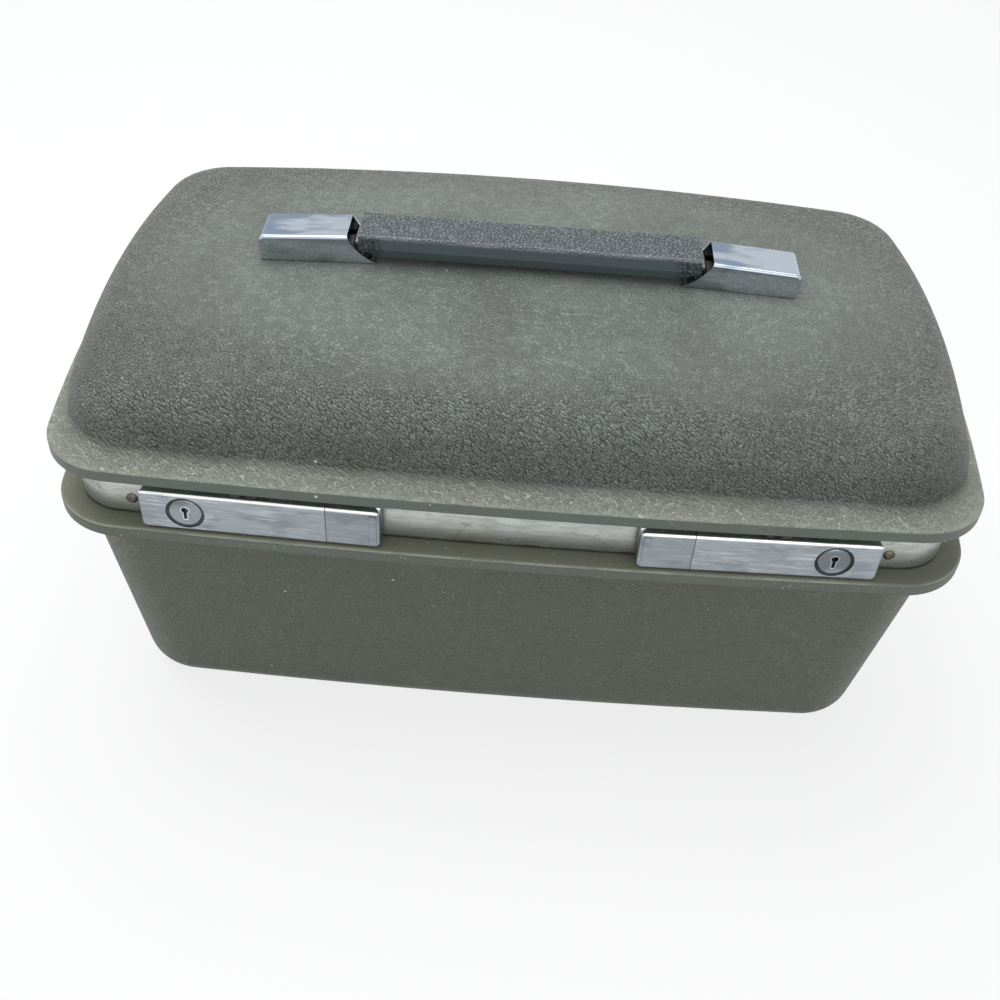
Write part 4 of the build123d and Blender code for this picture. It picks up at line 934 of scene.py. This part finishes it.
class CASE_OT_latches(bpy.types.Operator):
    """Finish the latches and their locks"""

    bl_idname = "case.latches"
    bl_label = "Latches and locks"

    def execute(self, context):
        own = context.scene.train_case.metal
        low, high = corner("hasp_right", 0).z, corner("hasp_right", 1).z
        # The heights of the latches' top and bottom edges, where a highlight is painted.
        rims = (high - 0.0014, high - 0.0009), (low + 0.0009, low + 0.0005)
        wear(brushed_steel("hasp_steel", own.latch[:], ends=rims), *both("hasp"))
        darker = shade(own.latch, 0.85)
        steel = brushed_steel("slide_steel", darker, (0.03, 0.03, 1.0), scratch=0.15, ends=rims)
        wear(steel, *both("thumb_slide"))
        wear(brushed_steel("plate_steel", own.plate[:], along=(0.2, 0.2, 1.0), scratch=0.2),
             *both("latch_plate"), *both("striker"), *both("slide_spring"))
        wear(polished_chrome("lock_chrome", own.lock[:]), *both("lock_plug"))
        # Painted shade: the lock bodies are chrome darkened so that the recessed ring round each
        # plug shows dark.
        wear(polished_chrome("lock_body_chrome_painted_shade", shade(own.lock, 0.22)), *both("lock_body"))
        bright = polished_chrome("key_rim_chrome", shade(own.lock, 2.2))
        for side in ("left", "right"):
            key_rim(side).data.materials.append(bright)
        wear(worn_brass("lock_brass", own.brass[:]), *both("lock_cam"))
        return {"FINISHED"}


class CASE_OT_handle(bpy.types.Operator):
    """Finish the grip, its strap and its brackets"""

    bl_idname = "case.handle"
    bl_label = "Handle"

    def execute(self, context):
        own = context.scene.train_case
        wear(grip_plastic("grip_pebble", own.trim.grip[:], own.trim.grip_ridge[:]), "handle_grip")
        wear(brushed_steel("strap_steel", own.metal.plate[:], along=(0.02, 1.0, 1.0), scratch=0.2),
             "handle_strap", *both("bracket_floor"), "bracket_screws")
        top = corner("handle_bracket_left", 1).z
        # The heights above which the brackets' top gets a painted reflection.
        sky_reflection_heights = top - 0.0045, top - 0.0028
        wear(polished_chrome("bracket_chrome", own.metal.chrome[:], sky_reflection_heights), *both("handle_bracket"))
        return {"FINISHED"}


class CASE_OT_inside(bpy.types.Operator):
    """Finish the linings, the mirror and the tray"""

    bl_idname = "case.inside"
    bl_label = "Inside"

    def execute(self, context):
        own = context.scene.train_case.trim
        cloth = lining_cloth("lining_cloth", own.cloth[:])
        padded_lining("base_lining", "base", -1, BASE_PANEL, cloth)
        padded_lining("lid_lining", "lid", 1, LID_PANEL, cloth)
        soft_piece(padded_board("mirror_board"), "mirror_board", "lid", cloth)
        wear(plain_plastic("tray_plastic", own.tray[:]), "tray", "tray_rests", "mirror_frame")
        wear(silvered_glass("mirror_silver"), "mirror_glass")
        return {"FINISHED"}


def floor_paper(colour):
    """Pale paper that holds a shadow, and shows brighter than it lights."""
    finish = Finish(bpy.data.materials.new("floor_paper"))
    paper = finish.add("ShaderNodeBsdfDiffuse", sockets={"Color": (*colour, 1.0)})
    glow = finish.add("ShaderNodeEmission", sockets={"Color": WHITE, "Strength": 1.0})
    mixed = {0: finish.plainly_seen() * FLOOR_GLOW, 1: paper, 2: glow}
    return finish.shown(finish.add("ShaderNodeMixShader", sockets=mixed))


def studio_world():
    """A dim cool light all round that shows as white."""
    finish = Finish(bpy.data.worlds.new("studio"))
    sky = finish.add("ShaderNodeBackground",
                     sockets={"Color": SKY_COLOUR, "Strength": SKY_STRENGTH})
    white = finish.add("ShaderNodeBackground", sockets={"Color": WHITE})
    mixed = {0: finish.plainly_seen(), 1: sky, 2: white}
    return finish.shown(finish.add("ShaderNodeMixShader", sockets=mixed), "ShaderNodeOutputWorld")


def aimed(thing, spot, goal, roll=0.0):
    """Puts a lamp or camera at a spot, looking at a goal and rolled about that line."""
    thing.location = spot
    thing.rotation_mode = "QUATERNION"
    look = (Vector(goal) - Vector(spot)).to_track_quat("-Z", "Y")
    thing.rotation_quaternion = look @ Quaternion((0.0, 0.0, 1.0), roll)


class CASE_OT_stage(bpy.types.Operator):
    """Set up the floor, the light and the camera"""

    bl_idname = "case.stage"
    bl_label = "Stage"

    def execute(self, context):
        own = context.scene.train_case.stage
        work = bmesh.new()
        bmesh.ops.create_grid(work, x_segments=1, y_segments=1, size=FLOOR_HALF)
        floor = linked("floor", meshed(work, "floor"))
        floor.data.materials.append(floor_paper(own.floor[:]))
        for name, spot, width, power in LAMPS:
            light = bpy.data.lights.new(name, "AREA")
            light.shape, light.size, light.energy = "SQUARE", width, power
            aimed(linked(name, light), spot, LAMP_GOAL)
        context.scene.world = studio_world()
        lens = bpy.data.cameras.new("camera")
        lens.lens = own.lens
        lens.clip_start = NEAR_CLIP
        camera = linked("camera", lens)
        aimed(camera, own.eye, own.aim, own.roll)
        context.scene.camera = camera
        context.scene.view_settings.view_transform = "Standard"
        return {"FINISHED"}


OPERATORS = (CASE_OT_lid, CASE_OT_base, CASE_OT_frames, CASE_OT_latches, CASE_OT_handle,
             CASE_OT_inside, CASE_OT_stage)


class CASE_PT_panel(bpy.types.Panel):
    """Lists the steps that dress the case"""

    bl_label = "Train case"
    bl_idname = "CASE_PT_panel"
    bl_space_type = "VIEW_3D"
    bl_region_type = "UI"
    bl_category = "Train case"

    def draw(self, context):
        for operator in OPERATORS:
            self.layout.operator(operator.bl_idname)
        for group in ("shell", "metal", "trim", "stage"):
            box = self.layout.box()
            own = getattr(context.scene.train_case, group)
            for key in own.__annotations__:
                box.prop(own, key)


CLASSES = (ShellSettings, MetalSettings, TrimSettings, StageSettings, CaseSettings,
           *OPERATORS, CASE_PT_panel)


def register():
    for each in CLASSES:
        bpy.utils.register_class(each)
    bpy.types.Scene.train_case = bpy.props.PointerProperty(type=CaseSettings)


def unregister():
    del bpy.types.Scene.train_case
    for each in reversed(CLASSES):
        bpy.utils.unregister_class(each)


def main():
    register()
    for operator in OPERATORS:
        group, name = operator.bl_idname.split(".")
        getattr(getattr(bpy.ops, group), name)()


if __name__ == "__main__":
    main()
